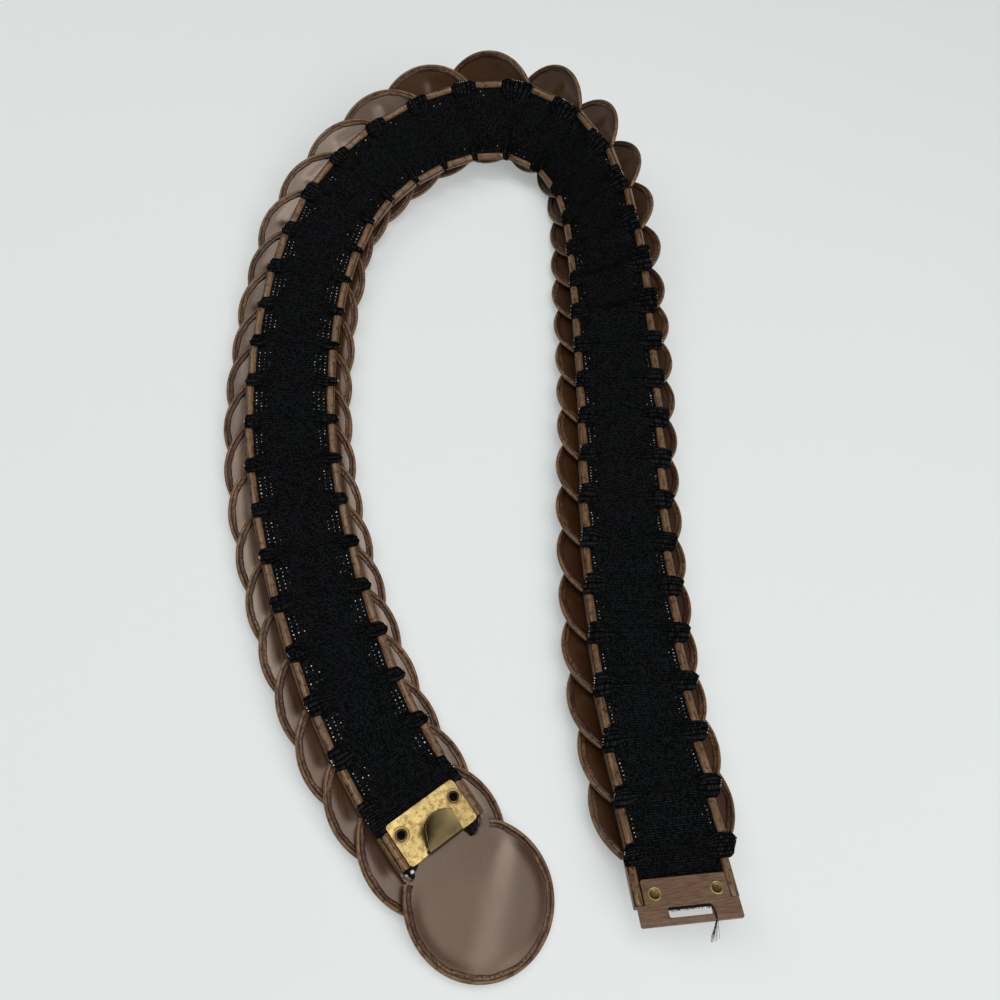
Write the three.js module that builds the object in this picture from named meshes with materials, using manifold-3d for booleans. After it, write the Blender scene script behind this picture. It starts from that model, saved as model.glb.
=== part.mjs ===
// A disc belt laid back side up in an open horseshoe. Millimetres, +Z up, origin under the middle.
// Round wood-grain scales, each pressed with a neck and two folded tabs, overlap like roof tiles.
// The tabs grip a band of ribbed elastic. A brass hook plate ends one side, a slotted plate the other.

import * as THREE from 'three';
import { mergeVertices } from 'three/addons/utils/BufferGeometryUtils.js';
import Module from 'manifold-3d';

const wasm = await Module();
wasm.setup();

// The belt as a whole
const SCALE_COUNT = 39;
const PITCH = 19;
const HOOK_PITCH = 24;
const GAP = 0.3;

// One scale: a disc with a folded rim, a neck and two folded tabs
const DISC_RADIUS = 25.5;
const RIM_THICK = 1.9;
const RIM_BAND = 2.6;
const SHEET = 1.0;
const TAB_START = 21.2;
const TAB_LENGTH = 13.2;
const TAB_REACH = 3.1;
const TAB_WALL = 1.0;
const TAB_LIP = 0.9;
const ARC_STEPS = 18;

// The band of elastic
const BAND_WIDTH = 35;
const BAND_THICK = 1.3;
const BAND_CHAMFER = 0.45;
const BULGE_RISE = 1.0;
const BAND_OVERHANG = 2.6;
const BAND_TAIL = 1.6;

// The brass hook plate and its tongue
const HOOK_WIDTH = 26.4;
const HOOK_LENGTH = 15.2;
const HOOK_CORNER = 1.6;
const HOOK_SHEET = 0.9;
const TONGUE_WIDTH = 12.6;
const TONGUE_LENGTH = 10.4;
const TONGUE_NOSE = 2.8;
const TONGUE_OPENING = 1.3;
const TONGUE_SLIT = 0.4;
const HOOK_SETBACK = 0.5;
const HOOK_RIVET_SIDE = 2.7;
const HOOK_RIVET_INSET = 4.4;

// The slotted end plate
const SLOT_PLATE_SHEET = 1.0;
const SLOT_PLATE_WIDTH = 33.6;
const SLOT_PLATE_TOP = 8.0;
const SLOT_PLATE_TAIL = 6.7;
const SLOT_PLATE_CORNER = 0.8;
const SLOT_WIDTH = 14.6;
const SLOT_HEIGHT = 3.6;
const SLOT_MARGIN = 0.9;
const SLOT_RIVET_SIDE = 3.7;
const SLOT_RIVET_INSET = 3.3;

// The eyelets that hold both plates
const HOOK_EYELET = { flange: 2.3, barrel: 1.6, bore: 1.15 };
const SLOT_EYELET = { flange: 2.0, barrel: 1.4, bore: 0.95 };
const FLANGE_THICK = 0.5;
const EYELET_SIDES = 10;

// Heights above the middle of a scale, along its own normal
const PLATE_BOTTOM = -RIM_THICK / 2;
const PLATE_TOP = PLATE_BOTTOM + SHEET;
const BAND_BOTTOM = PLATE_TOP + GAP;
const BAND_TOP = BAND_BOTTOM + BAND_THICK;
const LIP_BOTTOM = BAND_TOP + GAP;
const LIP_TOP = LIP_BOTTOM + TAB_LIP;
const FITTING_BOTTOM = BAND_TOP + GAP;

// Lengths along a scale, from the middle of its disc towards the slotted end
const NECK_HALF = BAND_WIDTH / 2;
const TAB_END = TAB_START + TAB_LENGTH;
const TAB_MIDDLE = TAB_START + TAB_LENGTH / 2;
const NECK_ROOT = Math.sqrt(DISC_RADIUS ** 2 - NECK_HALF ** 2);
const CHANNEL_HALF = NECK_HALF - TAB_WALL - GAP;
const FITTING_HALF = NECK_HALF - TAB_REACH - GAP;
const PATH_HEIGHT = LIP_TOP - TAB_LIP / 2;

// The laid belt, from the hook end to the slotted end. along: share of the scales.
// heading: degrees in the plane of the table. bank: how far the outer edge is raised, in degrees.
// layers: how many rim thicknesses a scale drops over one pitch. stretch: pitch over the resting pitch.
const LAY = [
  { along: 0.00, heading: 140, bank: 6, layers: 1.2, stretch: 1.00 },
  { along: 0.08, heading: 126, bank: 8, layers: 1.5, stretch: 1.00 },
  { along: 0.18, heading: 115, bank: 2, layers: 1.7, stretch: 1.00 },
  { along: 0.32, heading: 95, bank: -1, layers: 1.8, stretch: 1.00 },
  { along: 0.37, heading: 83, bank: 4, layers: 2.2, stretch: 1.00 },
  { along: 0.42, heading: 60, bank: 15, layers: 2.7, stretch: 1.04 },
  { along: 0.47, heading: 41, bank: 34, layers: 2.7, stretch: 1.03 },
  { along: 0.50, heading: 20, bank: 47, layers: 2.3, stretch: 1.04 },
  { along: 0.53, heading: -18, bank: 56, layers: 1.9, stretch: 1.08 },
  { along: 0.55, heading: -42, bank: 57, layers: 1.8, stretch: 1.08 },
  { along: 0.58, heading: -60, bank: 50, layers: 1.9, stretch: 1.06 },
  { along: 0.61, heading: -69, bank: 38, layers: 1.9, stretch: 1.00 },
  { along: 0.68, heading: -76, bank: 11, layers: 1.9, stretch: 0.98 },
  { along: 0.79, heading: -80, bank: -1, layers: 2.0, stretch: 1.00 },
  { along: 0.89, heading: -75, bank: -1, layers: 2.1, stretch: 1.00 },
  { along: 0.95, heading: -69, bank: 0, layers: 2.1, stretch: 1.00 },
  { along: 1.00, heading: -72, bank: 0, layers: 2.0, stretch: 1.00 },
];

function material(name, color, roughness, metalness) {
  return new THREE.MeshStandardMaterial({ name, color, roughness, metalness });
}

const woodGrain = material('wood_grain', 0x9c7358, 0.5, 0);
const walnut = material('walnut', 0x73523a, 0.5, 0);
const elastic = material('elastic', 0x0e1012, 0.95, 0);
const brass = material('brass', 0xc4a05a, 0.35, 1);

// Solids

function toManifold(geometry) {
  const bare = geometry.clone();
  bare.deleteAttribute('normal');
  bare.deleteAttribute('uv');
  const merged = mergeVertices(bare, 1e-4);
  return new wasm.Manifold(new wasm.Mesh({
    numProp: 3,
    vertProperties: new Float32Array(merged.attributes.position.array),
    triVerts: new Uint32Array(merged.index.array),
  }));
}

function toGeometry(solid) {
  const mesh = solid.getMesh();
  const geometry = new THREE.BufferGeometry();
  geometry.setAttribute('position', new THREE.BufferAttribute(mesh.vertProperties, 3));
  geometry.setIndex(new THREE.BufferAttribute(mesh.triVerts, 1));
  return geometry;
}

// A flat outline in x and y, raised from one height to another
function raised(shape, bottom, top, curveSegments = 1) {
  const geometry = new THREE.ExtrudeGeometry(shape, {
    depth: top - bottom,
    bevelEnabled: false,
    curveSegments,
  });
  geometry.translate(0, 0, bottom);
  return geometry;
}

// A section drawn across the belt (x, height), run along y from one place to another
function runAlong(shape, from, to) {
  const geometry = new THREE.ExtrudeGeometry(shape, {
    depth: to - from,
    bevelEnabled: false,
    curveSegments: 1,
  });
  geometry.rotateX(Math.PI / 2);
  geometry.translate(0, to, 0);
  return geometry;
}

function upright(radius, bottom, top, x, y) {
  const geometry = new THREE.CylinderGeometry(radius, radius, top - bottom, EYELET_SIDES);
  geometry.rotateX(Math.PI / 2);
  geometry.translate(x, y, (top + bottom) / 2);
  return geometry;
}

function roundedPlate(width, low, high, corner) {
  const half = width / 2;
  const shape = new THREE.Shape();
  shape.moveTo(-half + corner, low);
  shape.lineTo(half - corner, low);
  shape.absarc(half - corner, low + corner, corner, -Math.PI / 2, 0);
  shape.absarc(half - corner, high - corner, corner, 0, Math.PI / 2);
  shape.absarc(-half + corner, high - corner, corner, Math.PI / 2, Math.PI);
  shape.absarc(-half + corner, low + corner, corner, Math.PI, Math.PI * 1.5);
  return shape;
}

// Scales

const ROOT_ANGLE = Math.atan2(-NECK_ROOT, NECK_HALF);
const ARC_ANGLE = (Math.PI - 2 * ROOT_ANGLE) / ARC_STEPS;

// Points round the disc, counted from the outer corner of the neck
function discArc(radius, from, to) {
  const points = [];
  for (let step = from; step <= to; step += 1) {
    const angle = ROOT_ANGLE + step * ARC_ANGLE;
    points.push(new THREE.Vector2(radius * Math.cos(angle), radius * Math.sin(angle)));
  }
  return points;
}

// The disc and the root of its neck, which runs a little way into the tabs
function discOutline() {
  return new THREE.Shape([
    new THREE.Vector2(-NECK_HALF, -TAB_START - TAB_WALL),
    new THREE.Vector2(NECK_HALF, -TAB_START - TAB_WALL),
    ...discArc(DISC_RADIUS, 0, ARC_STEPS),
  ]);
}

// What is pressed down inside the folded rim: the face, and the neck with the ends of the rim beside it
function recessOutline() {
  const [outerEnd] = discArc(DISC_RADIUS + RIM_BAND, 1, 1);
  const low = -TAB_END;
  return new THREE.Shape([
    new THREE.Vector2(-outerEnd.x, low),
    new THREE.Vector2(outerEnd.x, low),
    outerEnd,
    ...discArc(DISC_RADIUS - RIM_BAND, 1, ARC_STEPS - 1),
    new THREE.Vector2(-outerEnd.x, outerEnd.y),
  ]);
}

// Both tabs and the neck between them, cut across the belt
function channelSection() {
  const inner = NECK_HALF - TAB_WALL;
  const lip = NECK_HALF - TAB_REACH;
  const round = TAB_LIP;
  const shape = new THREE.Shape();
  shape.moveTo(-NECK_HALF, PLATE_BOTTOM);
  shape.lineTo(NECK_HALF, PLATE_BOTTOM);
  shape.lineTo(NECK_HALF, LIP_TOP - round);
  shape.absarc(NECK_HALF - round, LIP_TOP - round, round, 0, Math.PI / 2);
  shape.lineTo(lip, LIP_TOP);
  shape.lineTo(lip, LIP_BOTTOM);
  shape.lineTo(inner, LIP_BOTTOM);
  shape.lineTo(inner, PLATE_TOP);
  shape.lineTo(-inner, PLATE_TOP);
  shape.lineTo(-inner, LIP_BOTTOM);
  shape.lineTo(-lip, LIP_BOTTOM);
  shape.lineTo(-lip, LIP_TOP);
  shape.lineTo(-NECK_HALF + round, LIP_TOP);
  shape.absarc(-NECK_HALF + round, LIP_TOP - round, round, Math.PI / 2, Math.PI);
  shape.closePath();
  return shape;
}

function scaleSolid() {
  const rimTop = PLATE_BOTTOM + RIM_THICK;
  const disc = toManifold(raised(discOutline(), PLATE_BOTTOM, rimTop));
  const recess = toManifold(raised(recessOutline(), PLATE_TOP, rimTop + GAP));
  const channel = toManifold(runAlong(channelSection(), -TAB_END, -TAB_START));
  return disc.subtract(recess).add(channel);
}

function pairOfHoles(x, y, radius) {
  const low = -RIM_THICK * 4;
  const high = LIP_TOP * 4;
  const inner = toManifold(upright(radius, low, high, -x, y));
  const outer = toManifold(upright(radius, low, high, x, y));
  return inner.add(outer);
}

// Hook plate: a rounded sheet with a tongue folded back over it from the edge next to the disc

const HOOK_FRONT = -TAB_START + GAP;
const HOOK_BACK = HOOK_FRONT - HOOK_LENGTH;
const HOOK_RIVET_X = HOOK_WIDTH / 2 - HOOK_RIVET_SIDE;
const HOOK_RIVET_Y = HOOK_BACK + HOOK_RIVET_INSET;
const TONGUE_BEND = HOOK_FRONT - HOOK_SHEET - TONGUE_OPENING / 2;

function tongueSection() {
  const bottom = FITTING_BOTTOM;
  const inner = TONGUE_OPENING / 2;
  const outer = inner + HOOK_SHEET;
  const middle = bottom + HOOK_SHEET + inner;
  const bend = TONGUE_BEND;
  const back = HOOK_FRONT - TONGUE_LENGTH;
  const root = bend - outer;
  const shape = new THREE.Shape();
  shape.moveTo(root, bottom);
  shape.lineTo(bend, bottom);
  shape.absarc(bend, middle, outer, -Math.PI / 2, Math.PI / 2);
  shape.lineTo(back, middle + outer);
  shape.lineTo(back, middle + inner);
  shape.lineTo(bend, middle + inner);
  shape.absarc(bend, middle, inner, Math.PI / 2, -Math.PI / 2, true);
  shape.lineTo(root, bottom + HOOK_SHEET);
  shape.closePath();
  return shape;
}

function tongueSolid() {
  const geometry = new THREE.ExtrudeGeometry(tongueSection(), {
    depth: TONGUE_WIDTH,
    bevelEnabled: false,
    curveSegments: 3,
  });
  // the section is drawn in (y, height), so it is turned to run across the belt
  geometry.applyMatrix4(new THREE.Matrix4().set(
    0, 0, 1, -TONGUE_WIDTH / 2,
    1, 0, 0, 0,
    0, 1, 0, 0,
    0, 0, 0, 1,
  ));
  const half = TONGUE_WIDTH / 2;
  const back = HOOK_FRONT - TONGUE_LENGTH;
  const nose = (half ** 2 + TONGUE_NOSE ** 2) / (2 * TONGUE_NOSE);
  const spread = Math.asin(half / nose);
  const shape = new THREE.Shape();
  shape.moveTo(-half, HOOK_FRONT + GAP);
  shape.absarc(0, back + nose, nose, -Math.PI / 2 - spread, -Math.PI / 2 + spread);
  shape.lineTo(half, HOOK_FRONT + GAP);
  shape.closePath();
  const high = FITTING_BOTTOM + TONGUE_OPENING + 4 * HOOK_SHEET;
  const trim = toManifold(raised(shape, FITTING_BOTTOM - GAP, high, 4));
  return toManifold(geometry).intersect(trim);
}

// What is cut from the plate's edge so that the tongue can fold up out of it
function tongueSlits() {
  const half = TONGUE_WIDTH / 2 + TONGUE_SLIT;
  return new THREE.Shape([
    new THREE.Vector2(-half, TONGUE_BEND),
    new THREE.Vector2(half, TONGUE_BEND),
    new THREE.Vector2(half, HOOK_FRONT + GAP),
    new THREE.Vector2(-half, HOOK_FRONT + GAP),
  ]);
}

function hookPlateSolid() {
  const bottom = FITTING_BOTTOM;
  const top = bottom + HOOK_SHEET;
  const front = HOOK_FRONT - HOOK_SETBACK;
  const sheet = toManifold(raised(
    roundedPlate(HOOK_WIDTH, HOOK_BACK, front, HOOK_CORNER), bottom, top, 2));
  const slits = toManifold(raised(tongueSlits(), bottom - GAP, top + GAP));
  const holes = pairOfHoles(HOOK_RIVET_X, HOOK_RIVET_Y, HOOK_EYELET.barrel + GAP);
  return sheet.subtract(slits).add(tongueSolid()).subtract(holes);
}

// Slotted plate: narrow between the last tabs, wide past them

const SLOT_PLATE_HIGH = -TAB_END + SLOT_PLATE_TOP;
const SLOT_PLATE_LOW = -TAB_END - SLOT_PLATE_TAIL;
const SLOT_TOP = -TAB_END - GAP - SLOT_MARGIN;
const SLOT_RIVET_X = FITTING_HALF - SLOT_RIVET_SIDE;
const SLOT_RIVET_Y = -TAB_END + SLOT_RIVET_INSET;

function slotPlateSolid() {
  const bottom = FITTING_BOTTOM;
  const top = bottom + SLOT_PLATE_SHEET;
  const shoulder = -TAB_END - GAP;
  const corner = SLOT_PLATE_CORNER;
  const narrow = toManifold(raised(
    roundedPlate(2 * FITTING_HALF, shoulder - 2 * corner, SLOT_PLATE_HIGH, corner), bottom, top));
  const wide = toManifold(raised(
    roundedPlate(SLOT_PLATE_WIDTH, SLOT_PLATE_LOW, shoulder, corner), bottom, top));
  const slotBox = roundedPlate(SLOT_WIDTH, SLOT_TOP - SLOT_HEIGHT, SLOT_TOP, corner);
  const slot = toManifold(raised(slotBox, bottom - GAP, top + GAP));
  const holes = pairOfHoles(SLOT_RIVET_X, SLOT_RIVET_Y, SLOT_EYELET.barrel + GAP);
  return narrow.add(wide).subtract(slot).subtract(holes);
}

// Eyelet: a flange on the plate and a barrel through the elastic and the neck, open down the middle
function eyeletGeometry(size, seat) {
  const flangeBottom = seat + GAP;
  const flangeTop = flangeBottom + FLANGE_THICK;
  const profile = [
    new THREE.Vector2(size.bore, PLATE_BOTTOM),
    new THREE.Vector2(size.barrel, PLATE_BOTTOM),
    new THREE.Vector2(size.barrel, flangeBottom),
    new THREE.Vector2(size.flange, flangeBottom),
    new THREE.Vector2((size.flange + size.bore) / 2, flangeTop),
    new THREE.Vector2(size.bore, PLATE_BOTTOM),
  ];
  const geometry = new THREE.LatheGeometry(profile, EYELET_SIDES);
  geometry.rotateX(Math.PI / 2);
  return geometry;
}

// Where each scale lies

function layAt(along) {
  const next = Math.max(1, LAY.findIndex((row) => row.along >= along - 1e-9));
  const from = LAY[next - 1];
  const to = LAY[next];
  const part = (along - from.along) / (to.along - from.along);
  const between = (key) => THREE.MathUtils.lerp(from[key], to[key], part);
  return {
    heading: THREE.MathUtils.degToRad(between('heading')),
    bank: THREE.MathUtils.degToRad(between('bank')),
    tilt: Math.asin(between('layers') * (RIM_THICK + GAP) / PITCH),
    stretch: between('stretch'),
  };
}

// The axes of a scale: x to the outside of the horseshoe, y towards the hook end, z out of its back
function scaleAxes(lay) {
  const onward = new THREE.Vector3(Math.cos(lay.heading), Math.sin(lay.heading), 0);
  const level = new THREE.Vector3(-Math.sin(lay.heading), Math.cos(lay.heading), 0);
  const up = new THREE.Vector3(0, 0, 1);
  const x = level.multiplyScalar(Math.cos(lay.bank)).addScaledVector(up, Math.sin(lay.bank));
  const flat = new THREE.Vector3().crossVectors(onward, x);
  const y = onward.clone().multiplyScalar(-Math.cos(lay.tilt)).addScaledVector(flat, -Math.sin(lay.tilt));
  const z = new THREE.Vector3().crossVectors(x, y);
  return { x, y, z };
}

function scalePlaces() {
  const places = [];
  const neck = new THREE.Vector2(0, 0);
  let previous = null;
  for (let index = 0; index < SCALE_COUNT; index += 1) {
    const lay = layAt(index / (SCALE_COUNT - 1));
    if (previous) {
      const heading = (previous.heading + lay.heading) / 2;
      const pitch = PITCH * (previous.stretch + lay.stretch) / 2;
      const step = index === 1 ? HOOK_PITCH : pitch;
      neck.x += step * Math.cos(heading);
      neck.y += step * Math.sin(heading);
    }
    const { x, y, z } = scaleAxes(lay);
    const middle = new THREE.Vector3(neck.x, neck.y, 0);
    middle.addScaledVector(y, TAB_MIDDLE).addScaledVector(z, -PATH_HEIGHT);
    // the lowest point of the tilted disc touches the table
    middle.z = DISC_RADIUS * Math.hypot(x.z, y.z) + (RIM_THICK / 2) * z.z;
    const matrix = new THREE.Matrix4().makeBasis(x, y, z).setPosition(middle);
    places.push({ matrix, x, y, z });
    previous = lay;
  }
  return places;
}

// Elastic: six-sided sections through each neck, wider and raised between two necks

function bandRing(centre, across, normal, halfWidth, thick) {
  const edge = BAND_CHAMFER;
  const corners = [
    [-halfWidth, 0],
    [-halfWidth + edge, -thick / 2],
    [halfWidth - edge, -thick / 2],
    [halfWidth, 0],
    [halfWidth - edge, thick / 2],
    [-halfWidth + edge, thick / 2],
  ];
  return corners.map(([side, height]) => (
    centre.clone().addScaledVector(across, side).addScaledVector(normal, height)));
}

function bandRings(places) {
  const middle = (BAND_BOTTOM + BAND_TOP) / 2;
  const reach = 2 * GAP;
  const onScale = (place, y) => new THREE.Vector3(0, y, middle).applyMatrix4(place.matrix);
  const rings = [];
  places.forEach((place, index) => {
    const first = index === 0;
    const last = index === places.length - 1;
    const hookEnd = onScale(place, -TAB_START + (first ? BAND_OVERHANG : reach));
    const slotEnd = onScale(place, -TAB_END - (last ? BAND_TAIL : reach));
    rings.push(bandRing(hookEnd, place.x, place.z, CHANNEL_HALF, BAND_THICK));
    rings.push(bandRing(slotEnd, place.x, place.z, CHANNEL_HALF, BAND_THICK));
    if (!last) {
      const next = places[index + 1];
      const normal = place.z.clone().add(next.z).normalize();
      const across = place.x.clone().add(next.x).normalize();
      const bulge = slotEnd.clone().add(onScale(next, -TAB_START + reach)).multiplyScalar(0.5);
      bulge.addScaledVector(normal, BULGE_RISE);
      rings.push(bandRing(bulge, across, normal, NECK_HALF, BAND_THICK));
    }
  });
  return rings;
}

function bandGeometry(places) {
  const rings = bandRings(places);
  const sides = rings[0].length;
  const positions = rings.flat().flatMap((point) => point.toArray());
  const faces = [];
  for (let ring = 0; ring < rings.length - 1; ring += 1) {
    for (let side = 0; side < sides; side += 1) {
      const next = (side + 1) % sides;
      const a = ring * sides + side;
      const b = ring * sides + next;
      const c = a + sides;
      const d = b + sides;
      faces.push(a, b, d, a, d, c);
    }
  }
  const end = (rings.length - 1) * sides;
  for (let side = 1; side < sides - 1; side += 1) {
    faces.push(0, side + 1, side);
    faces.push(end, end + side, end + side + 1);
  }
  const geometry = new THREE.BufferGeometry();
  geometry.setAttribute('position', new THREE.Float32BufferAttribute(positions, 3));
  geometry.setIndex(faces);
  return geometry;
}

// Assembly

const belt = new THREE.Group();

function addPiece(name, geometry, look, matrix = null) {
  const mesh = new THREE.Mesh(geometry, look);
  mesh.name = name;
  if (matrix) {
    mesh.applyMatrix4(matrix);
  }
  belt.add(mesh);
  return mesh;
}

const places = scalePlaces();
const hookPlace = places[0];
const slotPlace = places[SCALE_COUNT - 1];

const plain = scaleSolid();
const hookHoles = pairOfHoles(HOOK_RIVET_X, HOOK_RIVET_Y, HOOK_EYELET.barrel + GAP);
const slotHoles = pairOfHoles(SLOT_RIVET_X, SLOT_RIVET_Y, SLOT_EYELET.barrel + GAP);
const plainScale = toGeometry(plain);
const hookScale = toGeometry(plain.subtract(hookHoles));
const slotScale = toGeometry(plain.subtract(slotHoles));

places.forEach((place, index) => {
  let geometry = plainScale;
  if (place === hookPlace) {
    geometry = hookScale;
  }
  if (place === slotPlace) {
    geometry = slotScale;
  }
  addPiece(`scale_${String(index + 1).padStart(2, '0')}`, geometry, woodGrain, place.matrix);
});

const placed = (solid, place) => solid.transform(place.matrix.toArray());
const band = toManifold(bandGeometry(places));
addPiece('elastic_band', toGeometry(
  band.subtract(placed(hookHoles, hookPlace)).subtract(placed(slotHoles, slotPlace))), elastic);

addPiece('hook_plate', toGeometry(hookPlateSolid()), brass, hookPlace.matrix);
addPiece('slot_plate', toGeometry(slotPlateSolid()), walnut, slotPlace.matrix);

const SIDES = [
  { side: 'outer', sign: 1 },
  { side: 'inner', sign: -1 },
];
for (const { side, sign } of SIDES) {
  const hookEyelet = eyeletGeometry(HOOK_EYELET, FITTING_BOTTOM + HOOK_SHEET);
  hookEyelet.translate(sign * HOOK_RIVET_X, HOOK_RIVET_Y, 0);
  addPiece(`hook_eyelet_${side}`, hookEyelet, brass, hookPlace.matrix);
  const slotEyelet = eyeletGeometry(SLOT_EYELET, FITTING_BOTTOM + SLOT_PLATE_SHEET);
  slotEyelet.translate(sign * SLOT_RIVET_X, SLOT_RIVET_Y, 0);
  addPiece(`slot_eyelet_${side}`, slotEyelet, brass, slotPlace.matrix);
}

// The origin is the middle of the belt's box, on the surface that it lies on
belt.updateMatrixWorld(true);
const box = new THREE.Box3().setFromObject(belt, true);
const centre = box.getCenter(new THREE.Vector3());
belt.position.set(-centre.x, -centre.y, -box.min.z);
belt.updateMatrixWorld(true);

export default belt;
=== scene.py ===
"""The disc belt as it lies, back side up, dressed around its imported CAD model.

Lengths are in millimetres in a scale's own axes until a piece is laid into the belt, in metres.
A scale's x runs to the outside of the horseshoe, y towards the hook end, z out of its back.
"""

import math

import bmesh
import bpy
import numpy as np
from mathutils import Matrix, Vector


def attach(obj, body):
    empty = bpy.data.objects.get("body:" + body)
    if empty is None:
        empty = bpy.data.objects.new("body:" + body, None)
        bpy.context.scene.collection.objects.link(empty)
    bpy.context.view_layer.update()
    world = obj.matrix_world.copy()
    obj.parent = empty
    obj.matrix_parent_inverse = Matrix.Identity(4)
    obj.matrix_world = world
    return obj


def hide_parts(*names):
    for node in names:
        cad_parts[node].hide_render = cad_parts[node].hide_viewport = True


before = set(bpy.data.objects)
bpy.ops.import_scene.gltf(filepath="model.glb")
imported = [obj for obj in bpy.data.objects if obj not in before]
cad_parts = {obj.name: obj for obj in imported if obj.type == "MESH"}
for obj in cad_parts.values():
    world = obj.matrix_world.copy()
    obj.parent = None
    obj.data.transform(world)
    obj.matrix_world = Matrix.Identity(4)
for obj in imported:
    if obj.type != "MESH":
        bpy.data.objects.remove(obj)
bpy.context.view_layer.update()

MM = 0.001
SCALE_COUNT = 39

# One scale
DISC_RADIUS = 25.5
NECK_HALF = 17.5
NECK_ROOT = math.sqrt(DISC_RADIUS ** 2 - NECK_HALF ** 2)
ROOT_ANGLE = math.atan2(-NECK_ROOT, NECK_HALF)
TAB_START = 21.2
TAB_END = 34.4
TAB_MIDDLE = (TAB_START + TAB_END) / 2
LIP_TOP = 2.85
FACE_START = -17.5
PLATE_INSET = 0.95
PLATE_BOTTOM = -0.95
PLATE_TOP = 0.05
RIM_GROOVE = 1.34

# The elastic, where a neck holds it and where it swells between two necks
BAND_TOP = 1.65
BAND_THICK = 1.2
CHANNEL_HALF = 16.2
RIB_PITCH = 0.8
STITCH = 0.6

# The end fittings, which lie on the elastic
FITTING_BOTTOM = 1.95
FITTING_HALF = 14.1
HOOK_SHEET = 0.9
HOOK_FRONT = -20.2
HOOK_SETBACK = 0.5
HOOK_LENGTH = 15.9
HOOK_WIDTH = 27.3
HOOK_RIVET = (10.7, -30.9)
TONGUE_WIDTH = 13.2
TONGUE_LENGTH = 10.4
TONGUE_NOSE = 2.8
TONGUE_OPENING = 1.3
TONGUE_LIFT = 1.6
TONGUE_ROLL = 0.07
TONGUE_LEAN = 0.9
TONGUE_ASIDE = 0.4
TONGUE_TAPER = 0.1
SLOT_SHEET = 1.0
SLOT_PLATE_HIGH = -26.4
SLOT_SHOULDER = -34.7
SLOT_PLATE_LOW = -41.1
SLOT_PLATE_HALF = 16.8
SLOT_HALF = 7.3
SLOT_HIGH = -35.6
SLOT_LOW = -39.2
SLOT_RIVET = (10.4, -31.1)

# The photograph's view
AIM = Vector((0.0129, -0.0235, 0.0))
AZIMUTH = math.radians(1.2)
ELEVATION = math.radians(60.4)
ROLL = math.radians(12.2)
DISTANCE = 0.4037
LENS = 36
SENSOR = 36


def srgb(red, green, blue):
    """A colour as a screen shows it, 0 to 255, as the linear colour that a shader takes."""
    def linear(level):
        level /= 255
        return level / 12.92 if level <= 0.04045 else ((level + 0.055) / 1.055) ** 2.4

    return linear(red), linear(green), linear(blue), 1.0


def smooth_step(low, high, value):
    share = np.clip((value - low) / (high - low), 0, 1)
    return share * share * (3 - 2 * share)


def travelled(points):
    """How far along a row of points each of them lies."""
    return np.concatenate([[0], np.cumsum(np.linalg.norm(np.diff(points, axis=0), axis=1))])


def in_scene(name, data):
    thing = bpy.data.objects.new(name, data)
    bpy.context.scene.collection.objects.link(thing)
    return thing


# Node trees


class Nodes:
    """Adds nodes to a tree and links them, so that a finish reads from top to bottom."""

    def __init__(self, tree):
        self.tree = tree

    def add(self, kind, inputs=None, **settings):
        node = self.tree.nodes.new(kind)
        for key, value in settings.items():
            setattr(node, key, value)
        for key, value in (inputs or {}).items():
            self.feed(node.inputs[key], value)
        return node

    def feed(self, socket, value):
        if isinstance(value, bpy.types.NodeSocket):
            self.tree.links.new(value, socket)
        else:
            socket.default_value = value

    def feed_all(self, sockets, **values):
        for key, value in values.items():
            self.feed(sockets[key.replace("_", " ")], value)

    def math(self, operation, first, second=0.0):
        return self.add("ShaderNodeMath", {0: first, 1: second}, operation=operation).outputs[0]

    def times_plus(self, value, factor, added):
        return self.math("ADD", self.math("MULTIPLY", value, factor), added)

    def vector_math(self, operation, first, second):
        return self.add("ShaderNodeVectorMath", {0: first, 1: second}, operation=operation).outputs[0]

    def noise(self, vector, scale, detail=2.0, roughness=0.5):
        inputs = {"Vector": vector, "Scale": scale, "Detail": detail, "Roughness": roughness}
        return self.add("ShaderNodeTexNoise", inputs).outputs["Fac"]

    def remap(self, value, low, high, to_low=0.0, to_high=1.0):
        inputs = {0: value, 1: low, 2: high, 3: to_low, 4: to_high}
        return self.add("ShaderNodeMapRange", inputs, interpolation_type="SMOOTHSTEP").outputs[0]

    def mix(self, share, first, second, blend="MIX"):
        inputs = {0: share, 6: first, 7: second}
        return self.add("ShaderNodeMix", inputs, data_type="RGBA", blend_type=blend).outputs[2]

    def group(self, group, **inputs):
        node = self.add("ShaderNodeGroup", node_tree=group)
        self.feed_all(node.inputs, **inputs)
        return node.outputs


def new_group(name, inputs, outputs, kind="ShaderNodeTree"):
    """An empty node group with its named sockets, and the sockets to build between."""
    group = bpy.data.node_groups.new(name, kind)
    for socket_name, socket_type, default in inputs:
        socket = group.interface.new_socket(name=socket_name, in_out="INPUT", socket_type=socket_type)
        if default is not None:
            socket.default_value = default
    for socket_name, socket_type in outputs:
        group.interface.new_socket(name=socket_name, in_out="OUTPUT", socket_type=socket_type)
    nodes = Nodes(group)
    return group, nodes, nodes.add("NodeGroupInput").outputs, nodes.add("NodeGroupOutput").inputs


FLOAT, VECTOR, COLOR = "NodeSocketFloat", "NodeSocketVector", "NodeSocketColor"


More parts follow.
